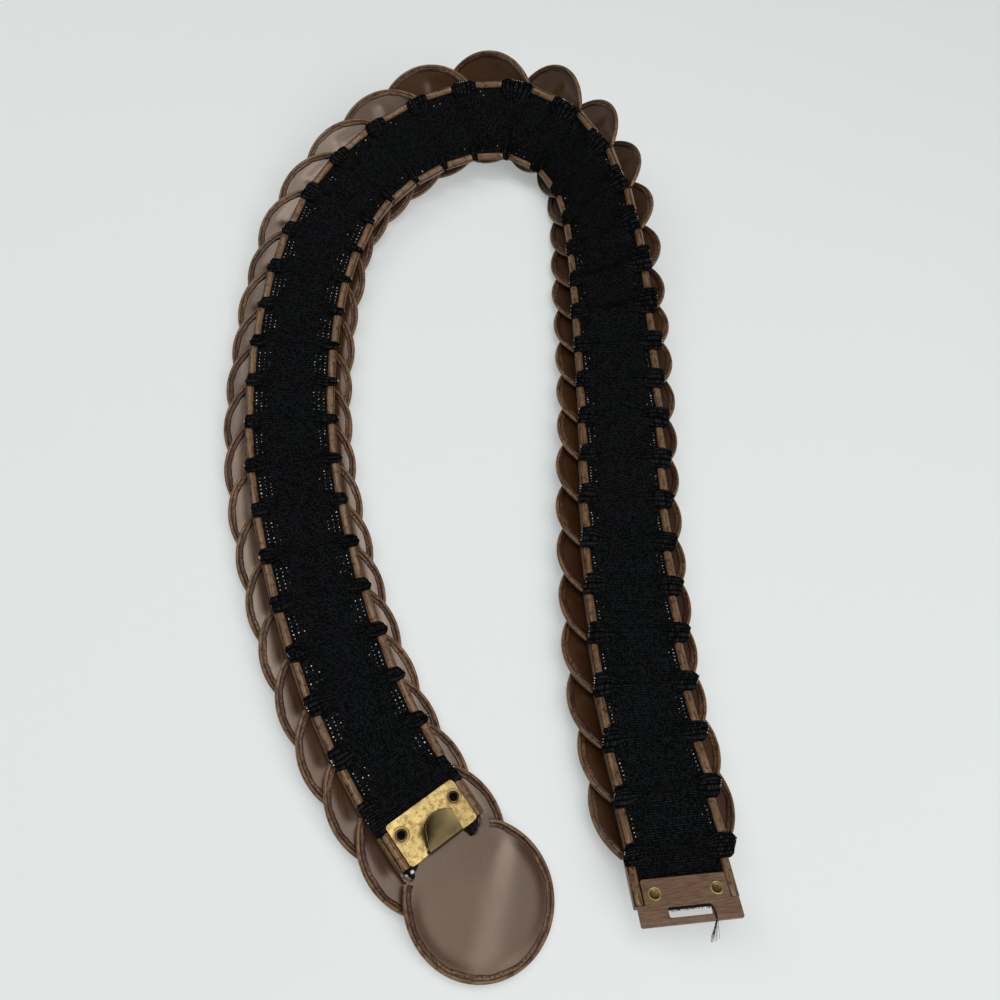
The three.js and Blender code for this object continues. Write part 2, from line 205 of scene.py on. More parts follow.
def grain_group():
    """Long wood streaks along the second axis of the vector, which is in metres."""
    group, nodes, given, made = new_group(
        "wood grain",
        [
            ("Vector", VECTOR, None),
            ("Fineness", FLOAT, 1700.0),
            ("Light", COLOR, srgb(125, 95, 65)),
            ("Dark", COLOR, srgb(50, 30, 15)),
            ("Warm", COLOR, srgb(92, 56, 34)),
        ],
        [("Color", COLOR), ("Height", FLOAT)],
    )
    drawn_out = nodes.vector_math("MULTIPLY", given["Vector"], (1.0, 0.075, 1.0))
    drift = nodes.noise(given["Vector"], 160.0, 1.0)
    bent = nodes.vector_math("ADD", drawn_out, nodes.vector_math("MULTIPLY", drift, (0.0012, 0.0, 0.0)))
    streaks = nodes.noise(bent, given["Fineness"], 3.0, 0.6)
    coarse = nodes.noise(bent, nodes.math("MULTIPLY", given["Fineness"], 0.28), 2.0, 0.5)
    pores = nodes.noise(bent, nodes.math("MULTIPLY", given["Fineness"], 2.6), 1.0)
    dark = nodes.math("MULTIPLY", nodes.remap(streaks, 0.42, 0.66), 0.8)
    color = nodes.mix(dark, given["Light"], given["Dark"])
    color = nodes.mix(nodes.remap(coarse, 0.5, 0.72, 0.0, 0.6), color, given["Warm"])
    color = nodes.mix(nodes.remap(pores, 0.6, 0.7, 0.0, 0.55), color, given["Dark"])
    height = nodes.math("MULTIPLY", nodes.math("ADD", streaks, pores), -0.5)
    nodes.feed_all(made, Color=color, Height=height)
    return group


def handling_group():
    """Faint smudges, scuffs and dust: a gloss that comes and goes over the surface."""
    group, nodes, given, made = new_group(
        "handling",
        [
            ("Vector", VECTOR, None),
            ("Color", COLOR, srgb(128, 128, 128)),
            ("Dust", COLOR, srgb(200, 196, 190)),
            ("Dust Amount", FLOAT, 0.2),
            ("Gloss Low", FLOAT, 0.35),
            ("Gloss High", FLOAT, 0.5),
        ],
        [("Color", COLOR), ("Roughness", FLOAT), ("Height", FLOAT)],
    )
    clouds = nodes.noise(given["Vector"], 55.0, 3.0, 0.55)
    smears = nodes.noise(nodes.vector_math("MULTIPLY", given["Vector"], (1.0, 0.25, 1.0)), 420.0, 2.0)
    motes = nodes.noise(given["Vector"], 2600.0, 1.0)
    dusty = nodes.math("MULTIPLY", nodes.remap(motes, 0.66, 0.74), given["Dust Amount"])
    tint = nodes.times_plus(clouds, 0.3, 0.85)
    grey = nodes.add("ShaderNodeCombineColor", {0: tint, 1: tint, 2: tint}).outputs[0]
    color = nodes.mix(1.0, given["Color"], grey, "MULTIPLY")
    color = nodes.mix(dusty, color, given["Dust"])
    worn = nodes.times_plus(clouds, 0.6, nodes.math("MULTIPLY", smears, 0.4))
    rough = nodes.remap(worn, 0.3, 0.7, given["Gloss Low"], given["Gloss High"])
    nodes.feed_all(made, Color=color, Roughness=rough, Height=nodes.times_plus(motes, 0.3, smears))
    return group


def patina_group():
    """Aged brass: bright where it is handled, brown and olive in blotches, with fine scratches."""
    group, nodes, given, made = new_group(
        "patina",
        [
            ("Vector", VECTOR, None),
            ("Bright", COLOR, srgb(190, 168, 112)),
            ("Stain", COLOR, srgb(126, 88, 48)),
            ("Olive", COLOR, srgb(112, 99, 54)),
            ("Stain Amount", FLOAT, 0.7),
            ("Olive Amount", FLOAT, 0.4),
        ],
        [("Color", COLOR), ("Roughness", FLOAT), ("Height", FLOAT)],
    )
    blotches = nodes.noise(given["Vector"], 560.0, 5.0, 0.72)
    broad = nodes.noise(given["Vector"], 130.0, 2.0, 0.5)
    pits = nodes.noise(given["Vector"], 2300.0, 2.0, 0.6)
    scratches = nodes.noise(nodes.vector_math("MULTIPLY", given["Vector"], (0.12, 1.0, 1.0)), 3600.0, 1.0)
    stain = nodes.math("MULTIPLY", nodes.remap(blotches, 0.44, 0.62), given["Stain Amount"])
    olive = nodes.math("MULTIPLY", nodes.remap(broad, 0.4, 0.62), given["Olive Amount"])
    color = nodes.mix(olive, given["Bright"], given["Olive"])
    color = nodes.mix(stain, color, given["Stain"])
    color = nodes.mix(nodes.remap(pits, 0.55, 0.7, 0.0, 0.6), color, given["Stain"])
    rough = nodes.times_plus(blotches, 0.35, nodes.math("MULTIPLY", scratches, 0.2))
    nodes.feed_all(made, Color=color, Roughness=rough, Height=nodes.times_plus(pits, 0.6, scratches))
    return group


def knit_group():
    """Rows of short stitches across a band: the vector's second axis runs along it, in metres."""
    group, nodes, given, made = new_group(
        "knit",
        [
            ("Vector", VECTOR, None),
            ("Pitch", FLOAT, RIB_PITCH * MM),
            ("Stitch", FLOAT, STITCH * MM),
            ("Yarn", COLOR, srgb(38, 40, 41)),
            ("Shade", COLOR, srgb(2, 2, 3)),
        ],
        [("Color", COLOR), ("Height", FLOAT)],
    )
    wander = nodes.noise(given["Vector"], 160.0, 1.0)
    parts = nodes.add("ShaderNodeSeparateXYZ", {0: given["Vector"]}).outputs
    along = nodes.times_plus(wander, 0.0007, parts[1])
    across = nodes.times_plus(wander, 0.0003, parts[0])
    row = nodes.math("DIVIDE", along, given["Pitch"])
    number = nodes.math("FLOOR", row)
    shifted = nodes.math("MULTIPLY", nodes.math("MODULO", number, 2.0), 0.5)
    stitch = nodes.math("ADD", nodes.math("DIVIDE", across, given["Stitch"]), shifted)
    cell = nodes.add("ShaderNodeCombineXYZ", {0: nodes.math("FLOOR", stitch), 1: number}).outputs[0]
    chance = nodes.add("ShaderNodeTexWhiteNoise", {"Vector": cell}).outputs["Value"]
    round_row = nodes.math("SINE", nodes.math("MULTIPLY", nodes.math("FRACT", row), math.pi))
    round_stitch = nodes.math("SINE", nodes.math("MULTIPLY", nodes.math("FRACT", stitch), math.pi))
    loop = nodes.math("MULTIPLY", round_row, nodes.math("POWER", round_stitch, 0.5))
    fibres = nodes.noise(given["Vector"], 4200.0, 1.0)
    lit = nodes.math("MULTIPLY", nodes.remap(chance, 0.0, 1.0, 0.2, 1.0), nodes.math("POWER", loop, 1.3))
    color = nodes.mix(lit, given["Shade"], given["Yarn"])
    nodes.feed_all(made, Color=color, Height=nodes.times_plus(fibres, 0.4, loop))
    return group


GROOVE_SHARE = 0.48
GRAIN = grain_group()
HANDLING = handling_group()
PATINA = patina_group()
KNIT = knit_group()


class Finish(Nodes):
    """A material's nodes, with the numbers of its Principled BSDF that are the same all over it."""

    def __init__(self, name, **constants):
        self.material = bpy.data.materials.new(name)
        self.material.use_nodes = True
        super().__init__(self.material.node_tree)
        self.tree.nodes.clear()
        self.shader = self.add("ShaderNodeBsdfPrincipled")
        self.add("ShaderNodeOutputMaterial", {"Surface": self.shader.outputs[0]})
        self.feed_all(self.shader.inputs, **constants)

    def laid_out(self, name="Sheet"):
        """A UV map, which for the sheet holds metres on the unfolded sheet."""
        return self.add("ShaderNodeUVMap", uv_map=name).outputs[0]

    def place(self):
        return self.add("ShaderNodeTexCoord").outputs["Object"]

    def made(self, color, roughness, height, depth, strength=1.0):
        """The material, once its colour, gloss and bump reach the shader. The depth is in mm."""
        inputs = {"Height": height, "Distance": depth * MM, "Strength": strength}
        normal = self.add("ShaderNodeBump", inputs).outputs[0]
        self.feed_all(self.shader.inputs, Base_Color=color, Roughness=roughness, Normal=normal)
        return self.material


def wrap_finish():
    """Printed wood grain wrapped round each scale, grooved and red-brown on the fold's hem. Inward of the
    bead the hem is painted darker, as painted shade in the fold's red-brown, and the groove is painted near
    black as painted shade.
    """
    nodes = Finish(
        "wood_grain_wrap", IOR=1.5, Specular_IOR_Level=0.4, Specular_Tint=(1.0, 0.9, 0.8, 1.0))
    sheet = nodes.laid_out()
    fold = nodes.add("ShaderNodeSeparateXYZ", {0: nodes.laid_out("Fold")}).outputs
    grain = nodes.group(GRAIN, Vector=sheet)
    drift = nodes.math("SUBTRACT", nodes.noise(sheet, 210.0, 3.0, 0.6), 0.5)
    # Painted shade: inward of the bead the hem is darkened towards a dark red-brown, more in some patches
    # than in others.
    hem = nodes.remap(nodes.math("ADD", fold[1], nodes.math("MULTIPLY", drift, 0.6)), 0.4, 0.56)
    russet = nodes.remap(nodes.noise(sheet, 330.0, 2.0), 0.42, 0.6)
    stain = nodes.mix(russet, srgb(38, 20, 10), srgb(68, 24, 13))
    hem_shade_amount = nodes.remap(nodes.noise(sheet, 34.0, 2.0), 0.42, 0.58, 0.35, 1.0)
    color = nodes.mix(nodes.math("MULTIPLY", hem, hem_shade_amount), grain["Color"], stain)
    blotch = nodes.remap(nodes.noise(sheet, 480.0, 3.0, 0.65), 0.5, 0.66, 0.0, 0.8)
    color = nodes.mix(blotch, color, srgb(44, 26, 13))
    # Painted shade: a near-black line along the groove, broken here and there.
    off_groove = nodes.math("ABSOLUTE", nodes.math("SUBTRACT", fold[1], GROOVE_SHARE))
    broken = nodes.remap(nodes.noise(sheet, 620.0, 2.0), 0.36, 0.5, 0.25, 0.95)
    groove_shade = nodes.math("MULTIPLY", nodes.remap(off_groove, 0.03, 0.09, 1.0, 0.0), broken)
    color = nodes.mix(groove_shade, color, srgb(28, 13, 7))
    cut = nodes.remap(fold[1], 0.93, 0.99)
    color = nodes.mix(cut, color, srgb(34, 18, 10))
    soiled = nodes.group(HANDLING, Vector=sheet, Color=color, Gloss_Low=0.3, Gloss_High=0.46)
    height = nodes.math("ADD", grain["Height"], soiled["Height"])
    return nodes.made(soiled["Color"], soiled["Roughness"], height, 0.05, 0.6)


def backing_finish():
    """Glossy brown backing of a disc, mauve where it mirrors the light and dark elsewhere."""
    nodes = Finish(
        "backing", IOR=1.5, Specular_IOR_Level=1.0, Specular_Tint=(1.0, 0.83, 0.69, 1.0))
    sheet = nodes.laid_out()
    broad = nodes.noise(sheet, 38.0, 2.0)
    color = nodes.mix(nodes.remap(broad, 0.3, 0.7), srgb(56, 31, 12), srgb(64, 38, 18))
    soiled = nodes.group(
        HANDLING, Vector=sheet, Color=color, Dust_Amount=0.16, Gloss_Low=0.27, Gloss_High=0.33)
    return nodes.made(soiled["Color"], soiled["Roughness"], soiled["Height"], 0.02, 0.35)


def core_finish():
    """The pale cut ends of the pressed sheet."""
    nodes = Finish("cut_core", IOR=1.45)
    sheet = nodes.laid_out()
    layers = nodes.noise(nodes.vector_math("MULTIPLY", sheet, (1.0, 0.2, 1.0)), 3000.0, 2.0)
    color = nodes.mix(layers, srgb(128, 92, 66), srgb(188, 156, 124))
    return nodes.made(color, nodes.times_plus(layers, 0.2, 0.6), layers, 0.05)


def crimp_shade_finish():
    """Dark colour on the crimp dents in the folded edge: painted shade of the pleats."""
    nodes = Finish("crimp_painted_shade", IOR=1.45)
    pleat_noise = nodes.noise(nodes.place(), 1500.0, 2.0)
    color = nodes.mix(pleat_noise, srgb(22, 9, 4), srgb(60, 30, 17))
    return nodes.made(color, nodes.times_plus(pleat_noise, 0.3, 0.4), pleat_noise, 0.04)


def elastic_finish():
    nodes = Finish("ribbed_elastic", IOR=1.35, Specular_IOR_Level=0.05)
    knit = nodes.group(KNIT, Vector=nodes.laid_out())
    rough = nodes.remap(knit["Height"], 0.0, 1.4, 1.0, 0.8)
    return nodes.made(knit["Color"], rough, knit["Height"], 0.25)


def thread_finish():
    nodes = Finish("black_thread", IOR=1.4, Specular_IOR_Level=0.3)
    twist = nodes.noise(nodes.place(), 5200.0, 2.0)
    color = nodes.mix(twist, srgb(10, 8, 8), srgb(52, 36, 30))
    return nodes.made(color, nodes.times_plus(twist, 0.2, 0.7), twist, 0.03)


def rubber_finish():
    """Cut rubber strands that show as pale specks along the edges of the elastic."""
    nodes = Finish("rubber_strand", IOR=1.45)
    place = nodes.place()
    age = nodes.noise(place, 420.0, 1.0)
    grit = nodes.noise(place, 4000.0, 1.0)
    color = nodes.mix(nodes.remap(age, 0.38, 0.62), srgb(92, 88, 82), srgb(214, 210, 200))
    gritty = nodes.remap(grit, 0.55, 0.7, 0.0, 0.5)
    color = nodes.mix(gritty, color, srgb(70, 66, 62))
    return nodes.made(color, nodes.times_plus(grit, 0.2, 0.45), grit, 0.03)


def brass_finish(name, low, high, **looks):
    nodes = Finish(name, IOR=1.5, Metallic=1.0)
    patina = nodes.group(PATINA, Vector=nodes.place(), **looks)
    rough = nodes.remap(patina["Roughness"], 0.1, 0.45, low, high)
    return nodes.made(patina["Color"], rough, patina["Height"], 0.03, 0.5)


def walnut_finish():
    nodes = Finish("walnut_plate", IOR=1.5)
    sheet = nodes.laid_out()
    grain = nodes.group(
        GRAIN, Vector=sheet, Fineness=2600.0,
        Light=srgb(112, 84, 60), Dark=srgb(66, 43, 27), Warm=srgb(92, 62, 42))
    up_the_plate = nodes.add("ShaderNodeSeparateXYZ", {0: sheet}).outputs[0]
    off_strip = nodes.math("ABSOLUTE", nodes.math("SUBTRACT", up_the_plate, (SLOT_LOW - 0.9) * MM))
    worn = nodes.remap(off_strip, 0.0002, 0.0008, 1.0, 0.0)
    patchy = nodes.remap(nodes.noise(sheet, 500.0, 3.0), 0.3, 0.6, 0.2, 0.85)
    color = nodes.mix(nodes.math("MULTIPLY", worn, patchy), grain["Color"], srgb(114, 90, 74))
    soiled = nodes.group(
        HANDLING, Vector=sheet, Color=color, Dust_Amount=0.15, Gloss_Low=0.34, Gloss_High=0.52)
    height = nodes.math("ADD", grain["Height"], soiled["Height"])
    return nodes.made(soiled["Color"], soiled["Roughness"], height, 0.05, 0.5)


def floor_finish():
    """Pale board that glows a little, as a light table does, so that shadows stay faint."""
    nodes = Finish(
        "pale_floor", IOR=1.45, Specular_IOR_Level=0.1, Emission_Strength=0.3)
    place = nodes.place()
    paper = nodes.noise(place, 6.0, 3.0)
    color = nodes.mix(paper, srgb(185, 189, 188), srgb(188, 192, 191))
    glow = nodes.mix(paper, srgb(250, 255, 254), srgb(248, 254, 253))
    nodes.feed(nodes.shader.inputs["Emission Color"], glow)
    tooth = nodes.noise(place, 900.0, 2.0)
    return nodes.made(color, nodes.times_plus(paper, 0.1, 0.75), tooth, 0.03, 0.3)


WRAP, BACKING, CORE, PLEAT_SHADE = wrap_finish(), backing_finish(), core_finish(), crimp_shade_finish()
ELASTIC, THREAD, RUBBER = elastic_finish(), thread_finish(), rubber_finish()
BRASS = brass_finish("aged_brass", 0.22, 0.42)
# Painted reflection: the tongue gets a darker, olive copy of the brass, standing for the darker surroundings
# that the tilted tongue mirrors.
TONGUE_SHADED_BRASS = brass_finish(
    "tongue_brass_painted_dark", 0.3, 0.44, Bright=srgb(88, 80, 56), Olive=srgb(68, 63, 44), Olive_Amount=0.9,
    Stain_Amount=0.12)
CUP_BRASS = brass_finish(
    "cup_brass", 0.4, 0.55, Bright=srgb(122, 106, 72), Olive=srgb(94, 82, 52), Stain=srgb(88, 66, 42))
EYELET_BRASS = brass_finish("eyelet_brass", 0.48, 0.62, Stain_Amount=0.3)
# Painted highlight: a paler brass for the tongue's rounded edges, as a bright line along them.
EDGE_HIGHLIGHT_BRASS = brass_finish("edge_brass_painted_highlight", 0.4, 0.6, Bright=srgb(226, 210, 160), Olive_Amount=0.2)
WALNUT, FLOOR = walnut_finish(), floor_finish()
SCALE_FINISHES = [WRAP, BACKING, CORE, PLEAT_SHADE]
WRAPPED, BACKED, CUT, PLEAT_SHADED = range(4)


# Places


class Place:
    """Where a scale lies in the belt, read from its CAD node."""

    def __init__(self, node):
        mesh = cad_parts[node].data
        points = np.unique(np.array([v.co for v in mesh.vertices], float).round(6), axis=0)
        widest = max(mesh.polygons, key=lambda face: face.area)
        z = np.array(widest.normal)
        heights = (points - np.array(widest.center)) @ z
        if heights.max() + heights.min() < 0:
            z, heights = -z, -heights
        lips = points[heights > heights.max() - 0.1 * MM]
        middle = lips.mean(axis=0)
        # the two lips stand further apart than they are long
        x = np.linalg.svd(lips - middle)[2][0]
        y = np.cross(z, x)
        if y @ (points.mean(axis=0) - middle) < 0:
            x, y = -x, -y
        self.axes = np.array([x, y, z])
        self.origin = middle + (y * TAB_MIDDLE - z * LIP_TOP) * MM

    def lay(self, points):
        """Points in the scale's axes, in millimetres, as points of the belt in metres."""
        return self.origin + (np.asarray(points, float) * MM) @ self.axes


PLACES = [Place(f"scale_{index + 1:02d}") for index in range(SCALE_COUNT)]
HOOK_PLACE, SLOT_PLACE = PLACES[0], PLACES[-1]


# Shapes


class Form:
    """Rings of points joined into closed skins, each point with its place on the flat sheet."""

    def __init__(self):
        self.points, self.faces, self.finishes = [], [], []
        self.sheet, self.fold = [], []

    def add_rings(self, rings, sheet, fold=None, finish=0, ends=None, caps="whole"):
        """Joins each ring to the next, all the way round, and closes the first and last ring.

        finish is one index, or one for each strip between two rings. caps closes an end with a
        whole face, with strips across a flat ring that runs out and back, or not at all."""
        rings = np.asarray(rings, float)
        count, sides = rings.shape[:2]
        start = sum(len(points) for points in self.points)
        finishes = [finish] * (count - 1) if isinstance(finish, int) else list(finish)
        for ring in range(count - 1):
            for side in range(sides):
                a = start + ring * sides + side
                b = start + ring * sides + (side + 1) % sides
                self.faces.append((a, b, b + sides, a + sides))
                self.finishes.append(finishes[ring])
        first_end, last_end = ends or (finishes[0], finishes[-1])
        for low, turned, end_finish in (
                (start, True, first_end), (start + (count - 1) * sides, False, last_end)):
            if caps == "whole":
                caps_here = [tuple(range(low, low + sides))]
            elif caps == "strips":
                back = low + sides - 1
                caps_here = [(low + i, low + i + 1, back - i - 1, back - i) for i in range(sides // 2 - 1)]
            else:
                caps_here = []
            self.faces += [cap[::-1] if turned else cap for cap in caps_here]
            self.finishes += [end_finish] * len(caps_here)
        self.points.append(rings.reshape(-1, 3))
        self.sheet.append(np.asarray(sheet, float).reshape(-1, 2))
        fold = np.zeros((count * sides, 2)) if fold is None else np.asarray(fold, float)
        self.fold.append(fold.reshape(-1, 2))

    def add_mesh(self, mesh, finish):
        """A finished small mesh, such as the crimp marks."""
        start = sum(len(points) for points in self.points)
        points = np.array([v.co for v in mesh.vertices], float) / MM
        self.faces += [tuple(start + index for index in face.vertices) for face in mesh.polygons]
        self.finishes += [finish] * len(mesh.polygons)
        self.points.append(points)
        self.sheet.append(points[:, :2])
        self.fold.append(np.zeros((len(points), 2)))

    def piece(self, name, place, materials, shift=(0.0, 0.0), sharp=35):
        points = np.concatenate(self.points)
        laid = place.lay(points) if place else points * MM
        maps = {
            "Sheet": (np.concatenate(self.sheet) + np.array(shift)) * MM,
            "Fold": np.concatenate(self.fold),
        }
        return new_piece(name, laid, self.faces, materials, self.finishes, maps, sharp)


def new_piece(name, points, faces, materials, finishes=None, maps=None, sharp=35):
    """A mesh whose place is in its points, with its finishes and the maps that they read."""
    mesh = bpy.data.meshes.new(name)
    mesh.from_pydata([tuple(point) for point in points], [], faces)
    for material in materials:
        mesh.materials.append(material)
    if finishes is not None:
        mesh.polygons.foreach_set("material_index", finishes)
    corners = np.empty(len(mesh.loops), int)
    mesh.loops.foreach_get("vertex_index", corners)
    for map_name, spots in (maps or {}).items():
        layer = mesh.uv_layers.new(name=map_name)
        layer.data.foreach_set("uv", spots[corners].astype(np.float32).ravel())
    mesh.shade_smooth()
    mesh.set_sharp_from_angle(angle=math.radians(sharp))
    mesh.validate()
    return in_scene(name, mesh)


# Geometry Nodes


def end_tree(nodes, last, given, made):
    """Makes what the last node gives real, in its finish."""
    real = nodes.add("GeometryNodeRealizeInstances", {"Geometry": last.outputs[0]})
    shown = {"Geometry": real.outputs[0], "Material": given["Finish"]}
    nodes.feed(made["Geometry"], nodes.add("GeometryNodeSetMaterial", shown).outputs[0])


def copies_tree():
    """Sets a copy of a shape on every point of a guide, turned and sized as the point says."""
    tree, nodes, given, made = new_group(
        "copies on points",
        [
            ("Guide", "NodeSocketGeometry", None),
            ("Shape", "NodeSocketObject", None),
            ("Size Spread", FLOAT, 0.2),
            ("Seed", "NodeSocketInt", 1),
            ("Finish", "NodeSocketMaterial", None),
        ],
        [("Geometry", "NodeSocketGeometry")],
        "GeometryNodeTree",
    )
    shape = nodes.add("GeometryNodeObjectInfo", {"Object": given["Shape"]})
    out, along, size = (
        nodes.add("GeometryNodeInputNamedAttribute", {"Name": name}, data_type=kind).outputs[0]
        for name, kind in (("out", "FLOAT_VECTOR"), ("along", "FLOAT_VECTOR"), ("size", "FLOAT"))
    )
    upright = nodes.add("FunctionNodeAlignRotationToVector", {"Vector": out}, axis="Z")
    turned = nodes.add(
        "FunctionNodeAlignRotationToVector",
        {"Rotation": upright.outputs[0], "Vector": along}, axis="X", pivot_axis="Z")
    low = nodes.math("SUBTRACT", 1.0, given["Size Spread"])
    high = nodes.math("ADD", 1.0, given["Size Spread"])
    limits = {2: low, 3: high, "Seed": given["Seed"]}
    spread = nodes.add("FunctionNodeRandomValue", limits, data_type="FLOAT")
    scale = nodes.math("MULTIPLY", size, spread.outputs[1])
    placed = nodes.add("GeometryNodeInstanceOnPoints", {
        "Points": given["Guide"],
        "Instance": shape.outputs["Geometry"],
        "Rotation": turned.outputs[0],
        "Scale": scale,
    })
    end_tree(nodes, placed, given, made)
    return tree


def strands_tree():
    """Turns the edges of a guide into round threads that thin towards their ends."""
    tree, nodes, given, made = new_group(
        "threads on paths",
        [
            ("Guide", "NodeSocketGeometry", None),
            ("Radius", FLOAT, 0.06 * MM),
            ("Sides", "NodeSocketInt", 5),
            ("Finish", "NodeSocketMaterial", None),
        ],
        [("Geometry", "NodeSocketGeometry")],
        "GeometryNodeTree",
    )
    paths = nodes.add("GeometryNodeMeshToCurve", {"Mesh": given["Guide"]})
    size = {"Resolution": given["Sides"], "Radius": given["Radius"]}
    ring = nodes.add("GeometryNodeCurvePrimitiveCircle", size)
    share = nodes.add("GeometryNodeSplineParameter").outputs["Factor"]
    thin = nodes.math("SUBTRACT", 1.0, nodes.math("MULTIPLY", nodes.math("POWER", share, 3.0), 0.6))
    shaped = nodes.add("GeometryNodeSetCurveRadius", {"Curve": paths.outputs[0], "Radius": thin})
    tubes = nodes.add(
        "GeometryNodeCurveToMesh",
        {"Curve": shaped.outputs[0], "Profile Curve": ring.outputs[0], "Fill Caps": True})
    end_tree(nodes, tubes, given, made)
    return tree


COPIES, STRANDS = copies_tree(), strands_tree()


def grown(name, guide, tree, **inputs):
    """Runs a geometry tree on a guide mesh and keeps the result as a plain mesh piece."""
    carrier = in_scene(name + "_guide", guide)
    modifier = carrier.modifiers.new("nodes", "NODES")
    modifier.node_group = tree
    sockets = {item.name: item.identifier for item in tree.interface.items_tree if item.in_out == "INPUT"}
    for key, value in inputs.items():
        modifier[sockets[key.replace("_", " ")]] = value
    bpy.context.view_layer.update()
    evaluated = carrier.evaluated_get(bpy.context.evaluated_depsgraph_get())
    mesh = bpy.data.meshes.new_from_object(evaluated)
    mesh.name = name
    bpy.data.objects.remove(carrier)
    return in_scene(name, mesh)


def point_guide(spots):
    """A guide of loose points: rows of (place, out, along, size), in metres."""
    mesh = bpy.data.meshes.new("guide")
    mesh.from_pydata([tuple(spot[0]) for spot in spots], [], [])
    for column, attribute in ((1, "out"), (2, "along")):
        layer = mesh.attributes.new(attribute, "FLOAT_VECTOR", "POINT")
        layer.data.foreach_set("vector", np.array([spot[column] for spot in spots], np.float32).ravel())
    sizes = mesh.attributes.new("size", "FLOAT", "POINT")
    sizes.data.foreach_set("value", np.array([spot[3] for spot in spots], np.float32))
    return mesh


def path_guide(paths):
    """A guide of open paths: each a list of points in metres."""
    points, edges = [], []
    for path in paths:
        start = len(points)
        points += [tuple(point) for point in path]
        edges += [(start + step, start + step + 1) for step in range(len(path) - 1)]
    mesh = bpy.data.meshes.new("guide")
    mesh.from_pydata(points, edges, [])
    return mesh


def turned_shape(name, profile, sides, closed):
    """A shape turned about z from (radius, height) pairs in millimetres, unseen by itself."""
    form = Form()
    angles = np.linspace(0, 2 * math.pi, sides, endpoint=False)
    rows = list(profile) + ([profile[0]] if closed else [])
    rings = [[(r * math.cos(a), r * math.sin(a), z) for a in angles] for r, z in rows]
    sheet = [[(r * a, z) for a in angles] for r, z in rows]
    form.add_rings(rings, sheet, caps="none" if closed else "whole")
    shape = form.piece(name, None, [])
    if closed:
        merge_doubles(shape.data)
    return shape


def merge_doubles(mesh):
    edit = bmesh.new()
    edit.from_mesh(mesh)
    bmesh.ops.remove_doubles(edit, verts=edit.verts, dist=1e-7)
    bmesh.ops.recalc_face_normals(edit, faces=edit.faces)
    edit.to_mesh(mesh)
    edit.free()


# Scales

# The folded rim, cut across: distance in from the disc's edge, height, and share towards the cut edge
RIM_SECTION = [
    (2.80, 0.00, 1.00), (2.78, 0.36, 0.99), (2.66, 0.60, 0.95), (2.40, 0.72, 0.86), (2.05, 0.76, 0.74),
    (1.70, 0.72, 0.61), (1.48, 0.62, 0.53), (RIM_GROOVE, 0.56, GROOVE_SHARE), (1.20, 0.66, 0.43),
    (1.00, 0.86, 0.36), (0.72, 0.96, 0.26), (0.42, 0.88, 0.15), (0.16, 0.62, 0.06), (0.02, 0.25, 0.0),
    (0.00, -0.08, 0.0), (0.07, -0.44, 0.0), (0.30, -0.74, 0.0), (0.75, -0.91, 0.0), (1.35, -0.80, 0.0),
    (1.80, -0.40, 0.0), (2.60, -0.30, 0.0),
]
RIM_OUTERMOST = 14
RIM_STEPS = 96
RIM_CLEAR = math.radians(1.3)

# A tab, cut across the belt: distance from the middle line and height
TAB_SECTION = [
    (15.6, -0.95), (16.9, -0.95), (17.32, -0.84), (17.5, -0.5), (17.5, 0.4), (17.5, 1.3), (17.46, 1.9),
    (17.24, 2.30), (16.98, 2.44), (16.62, 2.78), (16.25, 2.92), (15.8, 2.93), (15.35, 2.86), (14.9, 2.66),
    (14.58, 2.36), (14.4, 2.0), (14.7, 1.93), (15.4, 2.0), (16.05, 2.0), (16.42, 1.8), (16.55, 1.35),
    (16.55, 0.3), (16.3, 0.05), (15.6, -0.1),
]
TAB_CREASE = 7


def face_relief(x, y, rng):
    """How a disc's back is dished, slightly uneven, and pressed down where a neck lies on it."""
    angle = rng.uniform(0.3, 1.2)
    tilted = x * math.cos(angle) + y * math.sin(angle)
    across = -x * math.sin(angle) + y * math.cos(angle)
    dish = 0.26 * (np.hypot(x, y) / DISC_RADIUS) ** 2 - 0.2
    saddle = rng.uniform(0.1, 0.2) * (tilted / DISC_RADIUS) ** 2
    saddle = saddle - rng.uniform(0.1, 0.18) * (across / DISC_RADIUS) ** 2
    waves = 0.05 * np.sin(tilted * 0.21 + rng.uniform(0, 6))
    waves = waves + 0.03 * np.sin(across * 0.33 + rng.uniform(0, 6))
    beside_bar = (1 - smooth_step(17.0, 20.8, np.abs(x))) * (1 - smooth_step(-1, 4, y))
    return (dish + saddle + waves - 0.75 * beside_bar) * smooth_step(FACE_START, -15, y)


def end_disc_relief(x, y, rng):
    """The disc that lies bare has one soft slanting crease, which catches the light."""
    slant_x, slant_y = 0.643, 0.766
    from_line = slant_x * x - slant_y * y + 5.9
    sideways = slant_y * x + slant_x * y
    wide = 6.0 + 0.08 * sideways
    crease = 0.55 - 1.1 * smooth_step(-1, 1, from_line / wide)
    inside = 1 - smooth_step(19.0, 24.0, np.hypot(x, y))
    dish = 0.2 * (np.hypot(x, y) / DISC_RADIUS) ** 2
    waves = 0.03 * np.sin(sideways * 0.17 + rng.uniform(0, 6))
    return (crease * inside + dish + waves + 0.05) * smooth_step(FACE_START, -8, y)


